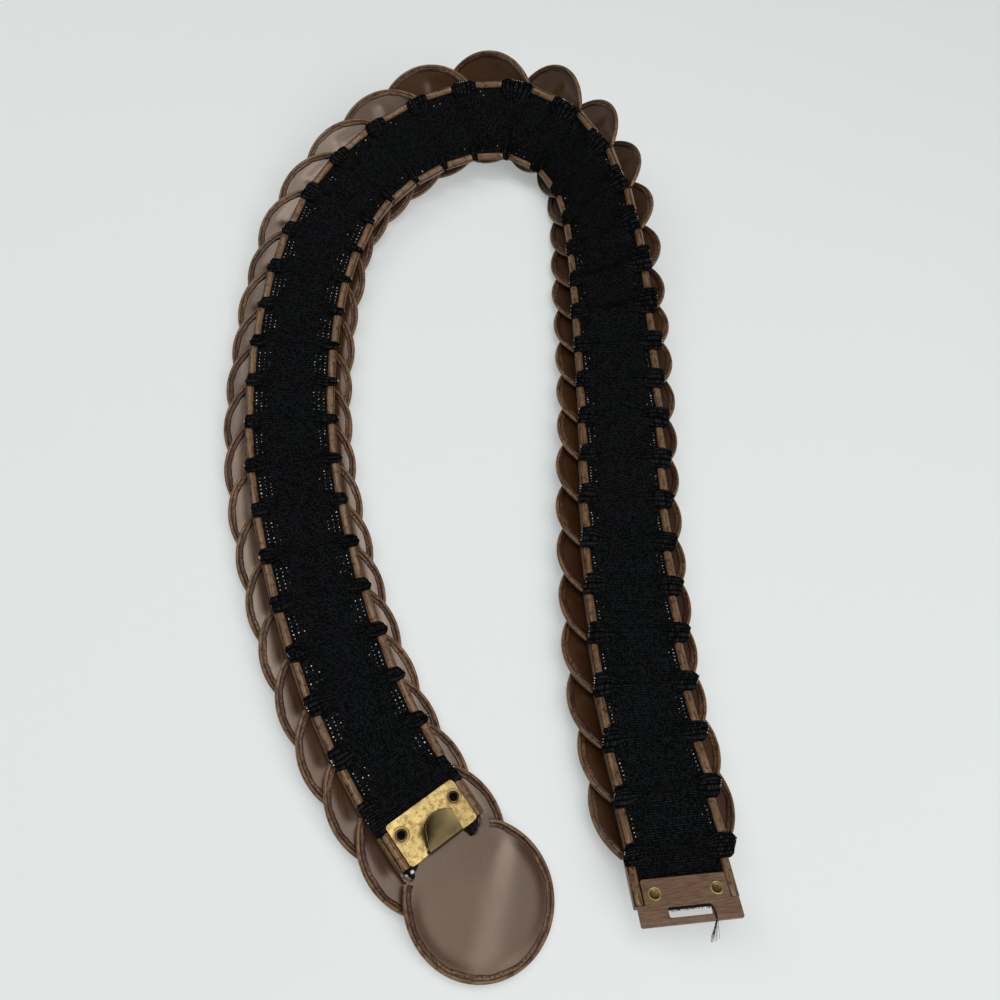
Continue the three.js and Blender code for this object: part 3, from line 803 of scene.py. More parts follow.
def disc_plate(form, rng, relief):
    """The pressed plate: wrapped in front, with its glossy backing behind, and its neck."""
    radius = DISC_RADIUS - PLATE_INSET
    angles = np.linspace(ROOT_ANGLE, math.pi - ROOT_ANGLE, 77)
    outline = [(radius * math.cos(a), radius * math.sin(a)) for a in angles]
    side = [(17.3, -18.4), (17.35, -19.4), (17.3, -20.6), (17.1, -22.0), (17.0, -26.0), (17.0, -34.2)]
    outline += [(-x, y) for x, y in side]
    outline += [(x, -34.3) for x in (-14, -9, -4, 0, 4, 9, 14)]
    outline += side[::-1]
    outline = np.array(outline)
    centre = np.array([0.0, -5.0])
    shrink = [0.02, 0.16, 0.3, 0.42, 0.52, 0.62, 0.7, 0.76, 0.82, 0.88, 0.94, 1.0]
    seed = rng.integers(1 << 30)
    rings = []
    for share in shrink:
        flat = centre + share * (outline - centre)
        lift = 0.1 * (np.hypot(flat[:, 0], flat[:, 1]) / DISC_RADIUS) ** 2
        rings.append(np.column_stack([flat, PLATE_BOTTOM + lift * smooth_step(FACE_START, -11, flat[:, 1])]))
    for share in shrink[::-1]:
        flat = centre + share * (outline - centre)
        height = relief(flat[:, 0], flat[:, 1], np.random.default_rng(seed))
        rings.append(np.column_stack([flat, PLATE_TOP + height]))
    rings = [ring[::-1] for ring in rings]
    finish = [WRAPPED] * len(shrink) + [BACKED] * (len(shrink) - 1)
    form.add_rings(rings, np.array(rings)[:, :, :2], finish=finish)


def folded_rim(form, rng):
    """The rim folded over the backing, with an uneven cut edge and a pinch at each end."""
    angles = np.linspace(ROOT_ANGLE + RIM_CLEAR, math.pi - ROOT_ANGLE - RIM_CLEAR, RIM_STEPS + 1)
    phases = rng.uniform(0, 2 * math.pi, 5)
    waves = (5, 11, 19, 31, 47)
    amounts = (0.12, 0.10, 0.08, 0.06, 0.05)
    section = np.array(RIM_SECTION)
    travel = travelled(section[:, :2])
    from_edge = travel[RIM_OUTERMOST] - travel
    rings, sheet, fold = [], [], []
    for angle in angles:
        wave = sum(a * math.sin(k * angle + p) for a, k, p in zip(amounts, waves, phases))
        lift = sum(a * math.sin(k * angle + 2 * p + 1) for a, k, p in zip(amounts, waves, phases) if k > 5)
        end = DISC_RADIUS * min(angle - angles[0], angles[-1] - angle)
        full = 0.3 + 0.7 * float(smooth_step(0, 2.8, end))
        inward = section[:, 0] + wave * section[:, 2]
        inward = np.where(section[:, 2] > 0, inward * (1.25 - 0.25 * full), inward)
        height = np.where(section[:, 1] > 0, section[:, 1] * full, section[:, 1])
        height = height + 0.45 * lift * section[:, 2]
        radius = DISC_RADIUS - inward
        rings.append(np.column_stack([radius * math.cos(angle), radius * math.sin(angle), height]))
        sheet.append(np.column_stack([from_edge, np.full(len(section), DISC_RADIUS * angle)]))
        fold.append(np.column_stack([np.full(len(section), angle), section[:, 2]]))
    form.add_rings(rings, sheet, fold, WRAPPED, (CUT, CUT))


def folded_tab(form, side, pushed_in, rng):
    """A tab folded up and over the elastic, which shows as a round-topped bar."""
    section = np.array(TAB_SECTION)
    middle = section.mean(axis=0)
    travel = travelled(section)
    skew = rng.uniform(-0.12, 0.12, 2)
    stations = [
        (-TAB_START, 0.88), (-TAB_START - 0.06, 0.95), (-TAB_START - 0.2, 1.0), (-TAB_START - 3.0, 1.0),
        (-TAB_MIDDLE, 1.0), (-TAB_END + 3.0, 1.0), (-TAB_END + 0.2, 1.0), (-TAB_END + 0.06, 0.95),
        (-TAB_END, 0.88),
    ]
    rings, sheet, fold = [], [], []
    for y, full in stations:
        share = (y + TAB_MIDDLE) / (TAB_END - TAB_START)
        shape = middle + (section - middle) * np.array([full ** 0.5, full])
        lip = smooth_step(14.2, 16.0, shape[:, 0])
        x = shape[:, 0] + (1 - lip) * (skew[0] + skew[1] * share)
        x = x - pushed_in * smooth_step(0.5, 2.2, shape[:, 1])
        level = np.full(len(section), y)
        rings.append(np.column_stack([side * x, level, shape[:, 1]]))
        sheet.append(np.column_stack([side * (NECK_HALF + travel), level]))
        # Painted shade: the fold map gives the tab's crease the groove's share, so the rim's painted groove
        # shade, and some of the hem's, run along the bar's outer shoulder.
        off_crease = np.abs(travel - travel[TAB_CREASE])
        fold.append(np.column_stack([level, GROOVE_SHARE - np.minimum(0.3, 0.22 * off_crease)]))
    if side > 0:
        rings = [ring[::-1] for ring in rings]
        sheet = [row[::-1] for row in sheet]
        fold = [row[::-1] for row in fold]
    form.add_rings(rings, sheet, fold, WRAPPED, (CUT, CUT))


def crimp_dents(seed):
    """Short dents in a zigzag along the fold's hem, dark with painted shade, as one small mesh in a scale's
    axes.
    """
    rng = np.random.default_rng(seed)
    spots = []
    angle = ROOT_ANGLE + 0.12
    slant = 0.6
    while angle < math.pi - ROOT_ANGLE - 0.12:
        radius = (DISC_RADIUS - 2.0 + rng.uniform(-0.2, 0.2)) * MM
        point = (radius * math.cos(angle), radius * math.sin(angle), rng.uniform(0.7, 0.78) * MM)
        along = (-math.sin(angle + slant), math.cos(angle + slant), 0.0)
        spots.append((point, (0.0, 0.0, 1.0), along, rng.uniform(0.7, 1.3)))
        angle += rng.uniform(1.0, 2.2) / DISC_RADIUS
        slant = -slant
    guide = point_guide(spots)
    return grown(f"crimps_{seed}", guide, COPIES, Shape=DENT, Size_Spread=0.25, Seed=seed, Finish=PLEAT_SHADE)


def dent_shape():
    """A lens a little over a millimetre long, unseen by itself."""
    form = Form()
    rings, sheet = [], []
    for along, girth in ((-0.62, 0.02), (-0.4, 0.7), (0.0, 1.0), (0.4, 0.7), (0.62, 0.02)):
        angles = np.linspace(0, 2 * math.pi, 6, endpoint=False)
        ring = [(along, 0.22 * girth * math.cos(a), 0.12 * girth * math.sin(a)) for a in angles]
        rings.append(ring)
        sheet.append([(along, point[1]) for point in ring])
    form.add_rings(rings, sheet)
    return form.piece("dent_shape", None, [])


DENT = dent_shape()
CRIMP_MESHES = []
for crimp_seed in (3, 7, 12, 21):
    crimp_object = crimp_dents(crimp_seed)
    CRIMP_MESHES.append(crimp_object.data)
    bpy.data.objects.remove(crimp_object)

for index, place in enumerate(PLACES):
    rng = np.random.default_rng(400 + index)
    scale_form = Form()
    disc_plate(scale_form, rng, face_relief if index else end_disc_relief)
    folded_rim(scale_form, rng)
    folded_tab(scale_form, 1, 0.0 if index else 0.7, rng)
    folded_tab(scale_form, -1, 0.0 if index else 0.9, rng)
    scale_form.add_mesh(CRIMP_MESHES[index % len(CRIMP_MESHES)], PLEAT_SHADED)
    piece = scale_form.piece(f"disc_{index + 1:02d}", place, SCALE_FINISHES, rng.uniform(-400, 400, 2))
    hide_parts(f"scale_{index + 1:02d}")
    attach(piece, "root")


# Elastic

COLUMNS = [17.5, 17.2, 16.6, 15.8, 15.0, 14.2, 13.2, 12.1, 11.0, 9.9, 8.0, 5.0, 1.8]
COLUMNS = np.array([-x for x in COLUMNS] + COLUMNS[::-1])
MIDDLE_COLUMN = len(COLUMNS) // 2
FRINGE = np.abs(COLUMNS) > 16.5

# How a swelling rises past a tab's end: distance past the end and height, at the edge of the band
SWELL_EDGE = [(0.2, 1.75), (-0.35, 2.6), (-0.7, 3.15), (-0.55, 3.45), (0.1, 3.8), (1.5, 4.0)]
SWELL_MIDDLE = [(0.1, 1.75), (0.5, 1.85), (0.9, 1.95), (1.3, 2.05), (1.7, 2.15), (2.2, 2.2)]
SWELL_REACH = [0.0, 0.12, 0.36, 0.6, 0.82, 1.0]
SWELL_CORNER = [0.0, 0.1, 0.2, 0.35, 0.5, 0.4]
NECK_ROWS = [0.5, 1.6, 3.4, 5.4, 7.8, 9.8, 11.6, 12.7]


def neck_row(y, rng):
    """The elastic on a neck, tucked under both tabs."""
    x = COLUMNS * CHANNEL_HALF / NECK_HALF
    middle = 1 - (COLUMNS / NECK_HALF) ** 2
    share = (-y - TAB_START) / (TAB_END - TAB_START)
    pillow = 0.32 * math.sin(math.pi * share) * middle ** 0.7
    z = BAND_TOP + pillow + rng.normal(0, 0.02, len(x)) * (np.abs(x) < 14)
    return np.column_stack([x, np.full(len(x), y), z])


def swell_rows(end, onward, reach, flat_half, rng):
    """Rows of a swelling that starts at a tab's end.

    reach is how wide its lobes stand out, and flat_half the part that stays down in the middle."""
    rows = []
    lobe = smooth_step(9.5, 16.0, np.abs(COLUMNS))
    raised = smooth_step(flat_half, flat_half + 0.6 * (NECK_HALF - flat_half) + 2, np.abs(COLUMNS))
    out = smooth_step(13.5, NECK_HALF, np.abs(COLUMNS))
    side = (COLUMNS > 0).astype(int)
    lift = rng.uniform(-0.15, 0.25, 2)[side]
    narrow = CHANNEL_HALF / NECK_HALF
    steps = zip(SWELL_EDGE, SWELL_MIDDLE, SWELL_REACH, SWELL_CORNER)
    for (edge_y, edge_z), (mid_y, mid_z), share, corner in steps:
        y = end + onward * (lobe * edge_y + (1 - lobe) * mid_y + corner * out ** 2)
        z = raised * (edge_z + lift * share) + (1 - raised) * mid_z
        wide = narrow + share * out * (reach[side] / NECK_HALF - narrow)
        x = COLUMNS * wide + FRINGE * rng.normal(0, 0.06, len(COLUMNS))
        z = z - 0.9 * share * smooth_step(15.6, NECK_HALF, np.abs(COLUMNS))
        rows.append(np.column_stack([x, y, z + rng.normal(0, 0.02, len(x))]))
    return rows


def relaxed(rows, ups, first_free, last_free):
    """Lets the middle of the elastic run on evenly from neck to neck, but not under the fittings."""
    along = travelled(rows[:, MIDDLE_COLUMN]) / MM
    weight = np.exp(-0.5 * ((along[:, None] - along[None, :]) / 8.0) ** 2)
    weight /= weight.sum(axis=1, keepdims=True)
    level = np.einsum("rs,sck->rck", weight, rows)
    rise = ((level - rows) * ups[:, None, :]).sum(axis=2) + 0.9 * MM
    rise = np.where(rise > 0, 0.9, 0.35) * rise
    loose = 1 - smooth_step(8, 14.5, np.abs(COLUMNS))
    number = np.arange(len(rows))
    free = smooth_step(first_free, first_free + 7, number) * smooth_step(-last_free, 7 - last_free, -number)
    return rows + ups[:, None, :] * (rise * free[:, None] * loose)[:, :, None]


# How far the elastic's first edge stands out ahead of the hook plate: a torn flap on one side
FRONT_EDGE = [
    (-17.5, 0.2), (-15.8, 0.3), (-15.0, 1.0), (-14.2, 2.3), (-13.2, 2.9), (-12.1, 3.5), (-11.0, 4.0),
    (-9.9, 4.2), (-8.0, -0.9), (10.8, -0.9), (12.1, 1.4), (13.2, 1.6), (14.2, 1.8), (15.0, 3.4), (15.8, 3.9),
    (16.6, 1.6), (17.5, 1.0),
]


def band_surface():
    """Rows of points along the top of the elastic from the hook end, and each row's upward side.

    Also the rows at which the necks start and the swellings have their crowns."""
    rng = np.random.default_rng(77)
    rows, ups, necks, crowns = [], [], [], []
    # the hook leg's inner edge and the other leg's outer edge stand out further
    reaches = 17.6 + rng.uniform(-0.1, 0.7, (SCALE_COUNT, 2))
    reaches[:14, 0] += 1.0
    reaches[24:, 1] += 1.9
    reaches[0] = 16.9, 17.6

    def put(place, row):
        rows.append(place.lay(row))
        ups.append(place.axes[2])

    edge = np.array(FRONT_EDGE)
    ragged = np.interp(COLUMNS, edge[:, 0], edge[:, 1]) + 1.0
    for share in (1.0, 0.75, 0.5, 0.25):
        row = neck_row(-TAB_START - 1.0, rng)
        row[:, 1] += ragged * share
        row[:, 2] -= 0.3 * share
        put(HOOK_PLACE, row)
    for index, place in enumerate(PLACES):
        necks.append(len(rows))
        for distance in NECK_ROWS if index else NECK_ROWS[1:]:
            put(place, neck_row(-TAB_START - distance, rng))
        if index == SCALE_COUNT - 1:
            break
        follower = PLACES[index + 1]
        leaving = swell_rows(-TAB_END, -1, reaches[index], 5.0 if index else 13.4, rng)
        arriving = swell_rows(-TAB_START, 1, reaches[index], 5.0 if index else 12.0, rng)
        for row in leaving:
            put(place, row)
        crown = (place.lay(leaving[-1]) + follower.lay(arriving[-1])) / 2
        up = place.axes[2] + follower.axes[2]
        up /= np.linalg.norm(up)
        crowns.append(len(rows))
        rows.append(crown + up * 0.25 * MM)
        ups.append(up)
        for row in arriving[::-1]:
            put(follower, row)
    for past in (-0.3, 0.6, 1.5):
        row = neck_row(-TAB_END, rng)
        row[:, 1] -= past
        put(SLOT_PLACE, row)
    rows, ups = np.array(rows), np.array(ups)
    return relaxed(rows, ups, necks[0] + len(NECK_ROWS), necks[-1] - 1), ups, necks, crowns


BAND_ROWS, BAND_UPS, NECK_STARTS, CROWNS = band_surface()


def elastic_band():
    along = travelled(BAND_ROWS[:, MIDDLE_COLUMN]) / MM
    edge_soft = 1 - 0.65 * smooth_step(15.5, NECK_HALF, np.abs(COLUMNS))
    under = BAND_ROWS - BAND_UPS[:, None, :] * (BAND_THICK * MM * edge_soft)[None, :, None]
    rings = np.concatenate([BAND_ROWS[:, ::-1], under], axis=1) / MM
    across = np.concatenate([COLUMNS[::-1], -COLUMNS + 60])
    sheet = [np.column_stack([across, np.full(len(across), distance)]) for distance in along]
    form = Form()
    form.add_rings(rings, sheet, caps="strips")
    return form.piece("elastic_belt_band", None, [ELASTIC], sharp=80)


band = elastic_band()
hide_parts("elastic_band")
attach(band, "root")


def band_spot(row, column):
    """A spot on the top of the elastic, between its rows and columns of points."""
    low, left = int(row), int(column)
    down, right = row - low, column - left
    near = (1 - right) * BAND_ROWS[low, left] + right * BAND_ROWS[low, left + 1]
    far = (1 - right) * BAND_ROWS[low + 1, left] + right * BAND_ROWS[low + 1, left + 1]
    return (1 - down) * near + down * far


# The columns of rubber ends on each leg: distance from the middle line, share that shows, and size
HOOK_LEG_SPECKS = [(13.15, 0.95, 1.0), (11.2, 0.8, 0.85), (9.2, 0.4, 0.75)]
SLOT_LEG_SPECKS = [(13.15, 0.85, 0.95), (11.2, 0.2, 0.7)]
SLOT_LEG_START = 20
FAR_BEND = range(15, 27)
FAR_BEND_KEEP = 0.15


def rubber_ends():
    """Pale strand ends: columns of them beside each bar, and a few on the edge of each swelling."""
    rng = np.random.default_rng(5)
    spots = []
    for index, place in enumerate(PLACES[1:-1], 1):
        for side in (-1, 1):
            for column_x, keep, size in HOOK_LEG_SPECKS if index < SLOT_LEG_START else SLOT_LEG_SPECKS:
                start = 2.4 + rng.uniform(0, 0.5)
                for step in range(6):
                    x = side * (column_x + rng.uniform(-0.15, 0.15))
                    column = np.interp(x, COLUMNS * CHANNEL_HALF / NECK_HALF, range(len(COLUMNS)))
                    distance = start + 1.5 * step + rng.uniform(-0.12, 0.12)
                    row = NECK_STARTS[index] + np.interp(distance, NECK_ROWS, range(len(NECK_ROWS)))
                    bright = size * (1.0 if step % 2 else 0.72)
                    if rng.random() < (FAR_BEND_KEEP if index in FAR_BEND else keep):
                        spots.append((band_spot(row, column), place.axes[2], place.axes[1], bright))
    for index, crown in enumerate(CROWNS):
        place = PLACES[index]
        for side, edge in ((-1, 0), (1, len(COLUMNS) - 1)):
            points = BAND_ROWS[crown - 5:crown + 6, edge]
            travel = travelled(points) / MM
            half = 1.3 if index < 18 else 2.6
            for offset in np.arange(-half, half + 0.1, 1.1):
                row = np.interp(travel[5] + offset + rng.uniform(-0.15, 0.15), travel, range(11))
                spot = band_spot(crown - 5 + min(row, 9.99), max(edge - 0.35, 0.35))
                if rng.random() < 0.85:
                    spots.append((spot, side * 1.2 * place.axes[0] + place.axes[2], place.axes[1], 0.95))
    for x, y, z in ((16.3, -19.6, 1.7), (13.9, -19.5, 1.7), (-15.6, -20.2, 1.7)):
        spots.append((HOOK_PLACE.lay([(x, y, z)])[0], HOOK_PLACE.axes[2], HOOK_PLACE.axes[1], 2.6))
    guide = point_guide(spots)
    return grown("rubber_strand_ends", guide, COPIES, Shape=SPECK, Size_Spread=0.2, Seed=9, Finish=RUBBER)


SPECK_SECTION = [(0.02, -0.1), (0.2, -0.08), (0.26, 0.02), (0.19, 0.11), (0.02, 0.14)]
SPECK = turned_shape("speck_shape", SPECK_SECTION, 7, False)
specks = rubber_ends()
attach(specks, "root")


# End fittings


def flat_plate(name, outline, holes, bottom, thick, bevel, material, place):
    """A sheet cut to an outline, with holes, and its edges slightly rounded."""
    curve = bpy.data.curves.new(name, "CURVE")
    curve.dimensions = "2D"
    curve.fill_mode = "BOTH"
    curve.extrude = thick / 2 - bevel
    curve.bevel_depth = bevel
    curve.bevel_resolution = 2
    for loop in [outline, *holes]:
        spline = curve.splines.new("POLY")
        spline.points.add(len(loop) - 1)
        spline.use_cyclic_u = True
        for point, (x, y) in zip(spline.points, loop):
            point.co = (x, y, 0, 1)
    flat = in_scene(name + "_flat", curve)
    bpy.context.view_layer.update()
    mesh = bpy.data.meshes.new_from_object(flat.evaluated_get(bpy.context.evaluated_depsgraph_get()))
    bpy.data.objects.remove(flat)
    points = np.array([v.co for v in mesh.vertices], float)
    points[:, 2] += bottom + thick / 2
    faces = [tuple(face.vertices) for face in mesh.polygons]
    maps = {"Sheet": points[:, [1, 0]] * MM}
    return new_piece(name, place.lay(points), faces, [material], maps=maps, sharp=40)


def rounded_loop(corners, radius, steps=6):
    """A closed outline with every corner rounded."""
    loop = []
    count = len(corners)
    for index, corner in enumerate(corners):
        corner = np.array(corner, float)
        before = np.array(corners[index - 1], float) - corner
        after = np.array(corners[(index + 1) % count], float) - corner
        start = corner + before / np.linalg.norm(before) * radius
        end = corner + after / np.linalg.norm(after) * radius
        for step in range(steps + 1):
            t = step / steps
            loop.append(tuple((1 - t) ** 2 * start + 2 * t * (1 - t) * corner + t * t * end))
    return loop


def circle_loop(x, y, radius, steps=28):
    angles = np.linspace(0, 2 * math.pi, steps, endpoint=False)
    return [(x + radius * math.cos(a), y + radius * math.sin(a)) for a in angles]


def hook_outline():
    half, front, back = HOOK_WIDTH / 2, HOOK_FRONT - HOOK_SETBACK, HOOK_FRONT - HOOK_LENGTH
    bend = HOOK_FRONT - HOOK_SHEET - TONGUE_OPENING / 2
    slit = TONGUE_WIDTH / 2 + 0.3
    corners = rounded_loop([(-half, back), (half, back), (half, front), (-half, front)], 1.6)
    cut = len(corners) * 3 // 4
    return corners[:cut] + [(slit, front), (slit, bend), (-slit, bend), (-slit, front)] + corners[cut:]


def hook_tongue():
    """The tongue: out of the plate, round its bend and back over the plate to a blunt nose."""
    inner = TONGUE_OPENING / 2
    middle = inner + HOOK_SHEET / 2
    bend = HOOK_FRONT - HOOK_SHEET - inner
    centre = FITTING_BOTTOM + HOOK_SHEET + inner
    half = TONGUE_WIDTH / 2
    nose = (half ** 2 + TONGUE_NOSE ** 2) / (2 * TONGUE_NOSE)
    columns = half * np.sin(np.linspace(-1, 1, 25) * math.pi / 2)
    path = [(bend - 2.2, -middle), (bend - 1.0, -middle)]
    turn = np.linspace(-math.pi / 2, math.pi / 2, 11)
    path += [(bend + middle * math.cos(a), middle * math.sin(a)) for a in turn]
    rows = [[(x - TONGUE_ASIDE, y, centre + z) for x in columns] for y, z in path]
    for share in (0.15, 0.3, 0.5, 0.7, 0.85, 0.95, 1.0):
        row = []
        for x in columns:
            tip = HOOK_FRONT - TONGUE_LENGTH + nose - math.sqrt(nose ** 2 - x ** 2)
            leant = x * (1 - TONGUE_TAPER * share) - TONGUE_ASIDE - TONGUE_LEAN * share
            lift = TONGUE_LIFT * share ** 1.5 + TONGUE_ROLL * (x + half) * share
            row.append((leant, bend + (tip - bend) * share, centre + middle + lift))
        rows.append(row)
    count, sides = len(rows), len(columns)
    points = np.array(rows).reshape(-1, 3)
    faces = [
        (r * sides + c, (r + 1) * sides + c, (r + 1) * sides + c + 1, r * sides + c + 1)
        for r in range(count - 1) for c in range(sides - 1)
    ]
    piece = new_piece("hook_tongue", HOOK_PLACE.lay(points), faces, [TONGUE_SHADED_BRASS, EDGE_HIGHLIGHT_BRASS])
    thickness = piece.modifiers.new("sheet", "SOLIDIFY")
    thickness.thickness = HOOK_SHEET * MM
    thickness.offset = 0
    rounding = piece.modifiers.new("edges", "BEVEL")
    rounding.width = 0.3 * MM
    # The rounded edges take the paler brass: a painted highlight along the tongue's outline.
    rounding.material = 1
    rounding.segments = 3
    rounding.limit_method = "ANGLE"
    rounding.angle_limit = math.radians(50)
    return piece


def slot_outline():
    narrow, wide = FITTING_HALF, SLOT_PLATE_HALF
    corners = [
        (-wide, SLOT_PLATE_LOW), (wide, SLOT_PLATE_LOW), (wide, SLOT_SHOULDER), (narrow, SLOT_SHOULDER),
        (narrow, SLOT_PLATE_HIGH), (-narrow, SLOT_PLATE_HIGH), (-narrow, SLOT_SHOULDER),
        (-wide, SLOT_SHOULDER),
    ]
    return rounded_loop(corners, 0.7)


def holes_beside(rivet, radius):
    x, y = rivet
    return [circle_loop(-x, y, radius), circle_loop(x, y, radius)]


hook_plate = flat_plate(
    "hook_base_plate", hook_outline(), holes_beside(HOOK_RIVET, 1.75),
    FITTING_BOTTOM, HOOK_SHEET, 0.14, BRASS, HOOK_PLACE)
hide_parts("hook_plate")
tongue = hook_tongue()
slot_hole = rounded_loop(
    [(-SLOT_HALF, SLOT_LOW), (SLOT_HALF, SLOT_LOW), (SLOT_HALF, SLOT_HIGH), (-SLOT_HALF, SLOT_HIGH)], 0.9)
slot_plate = flat_plate(
    "slotted_end_plate", slot_outline(), [slot_hole, *holes_beside(SLOT_RIVET, 1.7)],
    FITTING_BOTTOM, SLOT_SHEET, 0.16, WALNUT, SLOT_PLACE)
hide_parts("slot_plate")
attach(slot_plate, "root")
for fitting in (hook_plate, tongue):
    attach(fitting, "root")

# An eyelet's section, from its bore out and back down: radius and height above its plate
HOOK_EYELET = [
    (2.0, -3.6), (2.0, 0.02), (2.12, 0.1), (2.26, 0.2), (2.46, 0.25), (2.66, 0.21), (2.8, 0.1),
    (2.84, 0.0), (2.5, -0.05), (2.15, -0.3), (2.15, -3.6),
]
HOOK_CUP = [
    (1.36, -3.6), (1.36, -0.1), (1.43, 0.14), (1.6, 0.26), (1.8, 0.21), (1.97, 0.06), (2.03, -0.1),
    (1.7, -0.3), (1.55, -3.6),
]
SLOT_EYELET = [
    (1.5, -3.7), (1.5, -0.3), (1.62, 0.02), (1.76, 0.2), (1.95, 0.26), (2.12, 0.22), (2.26, 0.1),
    (2.28, 0.0), (1.9, -0.02), (1.62, -0.3), (1.6, -3.7),
]
SLOT_CUP = [
    (0.02, -0.28), (0.9, -0.3), (1.3, -0.24), (1.56, -0.1), (1.62, -0.3), (1.4, -3.6), (0.02, -3.6),
]


def eyelets(name, section, hollow, rivet, top, place, material, nodes=()):
    shape = turned_shape(name + "_shape", section, 30, hollow)
    x, y = rivet
    spots = [
        (place.lay([(side * x, y, top)])[0], place.axes[2], place.axes[0], 1.0) for side in (-1, 1)
    ]
    pair = grown(name, point_guide(spots), COPIES, Shape=shape, Size_Spread=0.0, Seed=1, Finish=material)
    bpy.data.objects.remove(shape)
    if nodes:
        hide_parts(*nodes)
    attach(pair, "root")


eyelets("hook_eyelets", HOOK_EYELET, True, HOOK_RIVET, FITTING_BOTTOM + HOOK_SHEET, HOOK_PLACE,
        EYELET_BRASS, ["hook_eyelet_outer", "hook_eyelet_inner"])
eyelets("hook_eyelet_cups", HOOK_CUP, True, HOOK_RIVET, FITTING_BOTTOM + HOOK_SHEET, HOOK_PLACE, CUP_BRASS)
eyelets("slot_eyelets", SLOT_EYELET, True, SLOT_RIVET, FITTING_BOTTOM + SLOT_SHEET, SLOT_PLACE,
        EYELET_BRASS, ["slot_eyelet_outer", "slot_eyelet_inner"])
eyelets("slot_eyelet_cups", SLOT_CUP, False, SLOT_RIVET, FITTING_BOTTOM + SLOT_SHEET, SLOT_PLACE, CUP_BRASS)


def wavy(start, end, rng, rise):
    """A loose strand between two points of a scale's axes, which bows up and has a few kinks."""
    start, end = np.array(start, float), np.array(end, float)
    points = []
    drift = np.zeros(3)
    for share in np.linspace(0, 1, 6):
        drift = drift + rng.normal(0, 0.11, 3) * np.array([1, 0.4, 0.6])
        bowed = np.array([0, 0, rise]) * math.sin(math.pi * share)
        points.append(start + (end - start) * share + bowed + drift * share)
    return points


def loose_threads():
    """The frayed end of the elastic in the slot, and the bunch that hangs out over the plate's edge."""
    rng = np.random.default_rng(31)
    plate_top = FITTING_BOTTOM + SLOT_SHEET
    paths = []
    for _ in range(300):
        x = rng.uniform(-7.1, 7.3)
        low = rng.uniform(0.7, 1.7) * (0.7 + 0.3 * math.sin(x * 1.3) ** 2)
        start = (x, SLOT_HIGH + 0.25, rng.uniform(1.6, 2.4))
        end = (x + rng.normal(0, 0.4), SLOT_HIGH - low, rng.uniform(2.2, 3.05))
        paths.append(SLOT_PLACE.lay(wavy(start, end, rng, 0.3)))
    for _ in range(18):
        start = (rng.uniform(4.8, 6.8), SLOT_HIGH - 0.1, 2.4)
        rise = (rng.normal(7.5, 0.15), -36.8 + rng.normal(0, 0.25), plate_top + rng.uniform(0.1, 0.4))
        over = (rng.normal(7.8, 0.25), -40.0 + rng.normal(0, 0.3), plate_top + rng.uniform(0.12, 0.4))
        brink = (rng.normal(7.6, 0.3), -41.6, plate_top - rng.uniform(0.0, 0.6))
        end = (rng.normal(6.8, 0.7), rng.uniform(-46.4, -43.8), rng.uniform(-3.5, -0.5))
        stations = np.array([start, rise, over, brink, end])
        shares = np.linspace(0, 4, 22)
        path = np.column_stack([np.interp(shares, range(5), stations[:, axis]) for axis in range(3)])
        for _ in range(4):
            path[1:-1] = 0.5 * path[1:-1] + 0.25 * (path[:-2] + path[2:])
        paths.append(SLOT_PLACE.lay(path + rng.normal(0, 0.03, path.shape)))
    edge = np.array(FRONT_EDGE)
    for x in np.concatenate([np.linspace(-14.6, -9.6, 30), np.linspace(11.6, 16.4, 30)]):
        ahead = -TAB_START + float(np.interp(x, edge[:, 0], edge[:, 1]))
        start = (x, ahead - 0.4, 1.2)
        end = (x + rng.normal(0, 0.4), ahead + rng.uniform(0.1, 0.9), rng.uniform(0.5, 1.5))
        paths.append(HOOK_PLACE.lay(wavy(start, end, rng, 0.15)))
    return grown("frayed_threads", path_guide(paths), STRANDS, Radius=0.055 * MM, Sides=5, Finish=THREAD)


threads = loose_threads()
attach(threads, "root")
for helper in (DENT, SPECK):
    bpy.data.objects.remove(helper)


# Floor, light and camera


def light_plane(name, place, size, power, tint):
    data = bpy.data.lights.new(name, "AREA")
    data.shape = "RECTANGLE"
    data.size, data.size_y = size
    data.energy = power
    data.color = tint
    light = in_scene(name, data)
    light.location = place
    light.rotation_mode = "QUATERNION"
    light.rotation_quaternion = Vector(place).to_track_quat("Z", "Y")


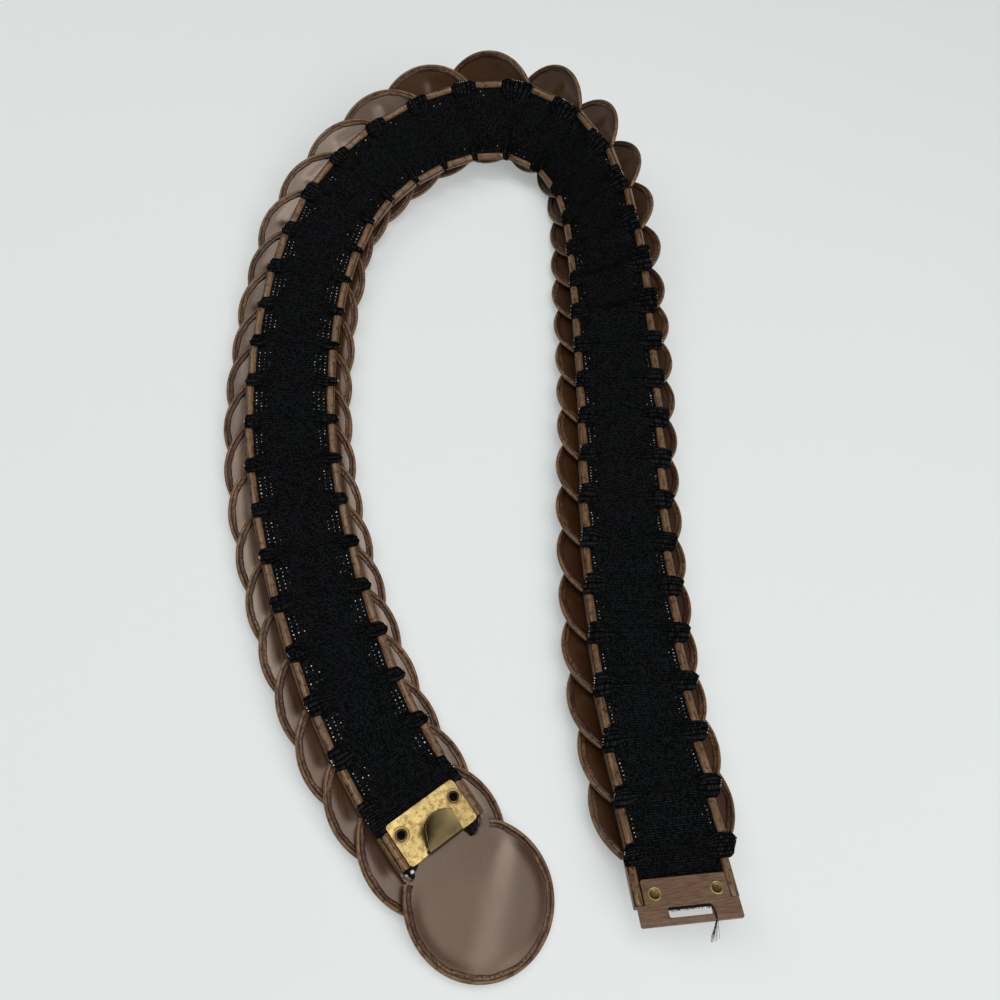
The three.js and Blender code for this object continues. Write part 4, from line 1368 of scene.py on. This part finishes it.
def room():
    """The world: dim all round for the glosses, and pale where the camera looks past the floor."""
    world = bpy.data.worlds.new("room")
    bpy.context.scene.world = world
    world.use_nodes = True
    world.node_tree.nodes.clear()
    nodes = Nodes(world.node_tree)
    seen = nodes.add("ShaderNodeLightPath").outputs["Is Camera Ray"]
    dim = nodes.add("ShaderNodeBackground", {"Color": srgb(224, 230, 240), "Strength": 0.1})
    pale = nodes.add("ShaderNodeBackground", {"Color": srgb(222, 226, 227), "Strength": 1.0})
    both = nodes.add("ShaderNodeMixShader", {0: seen, 1: dim.outputs[0], 2: pale.outputs[0]})
    nodes.add("ShaderNodeOutputWorld", {"Surface": both.outputs[0]})


def pale_floor():
    half = 4.0
    corners = [(-half, -half, 0), (half, -half, 0), (half, half, 0), (-half, half, 0)]
    floor = new_piece("floor", np.array(corners, float), [(0, 1, 2, 3)], [FLOOR])


def camera():
    back = Vector((
        math.sin(AZIMUTH) * math.cos(ELEVATION),
        -math.cos(AZIMUTH) * math.cos(ELEVATION),
        math.sin(ELEVATION)))
    level = Vector((math.cos(AZIMUTH), math.sin(AZIMUTH), 0))
    lifted = back.cross(level)
    right = level * math.cos(ROLL) + lifted * math.sin(ROLL)
    up = back.cross(right)
    data = bpy.data.cameras.new("camera")
    data.lens = LENS
    data.sensor_width = SENSOR
    data.clip_start, data.clip_end = 0.01, 50
    eye = in_scene("camera", data)
    turn = Matrix((right, up, back)).transposed().to_4x4()
    eye.matrix_world = Matrix.Translation(AIM + back * DISTANCE) @ turn
    bpy.context.scene.camera = eye


pale_floor()
room()
light_plane("overhead_panel", (0.28, -0.16, 1.35), (1.1, 0.92), 5.1, (1.0, 1.0, 1.0))
light_plane("overhead_core", (-0.03, 0.02, 1.4), (0.5, 0.6), 3.6, (1.0, 0.99, 0.97))
light_plane("front_softbox", (0.97, -0.81, 1.14), (1.1, 0.9), 13, (1.0, 0.99, 0.97))
light_plane("left_softbox", (-0.88, 0.1, 1.3), (0.8, 0.9), 6.5, (1.0, 1.0, 1.0))
camera()
bpy.context.scene.view_settings.view_transform = "Standard"
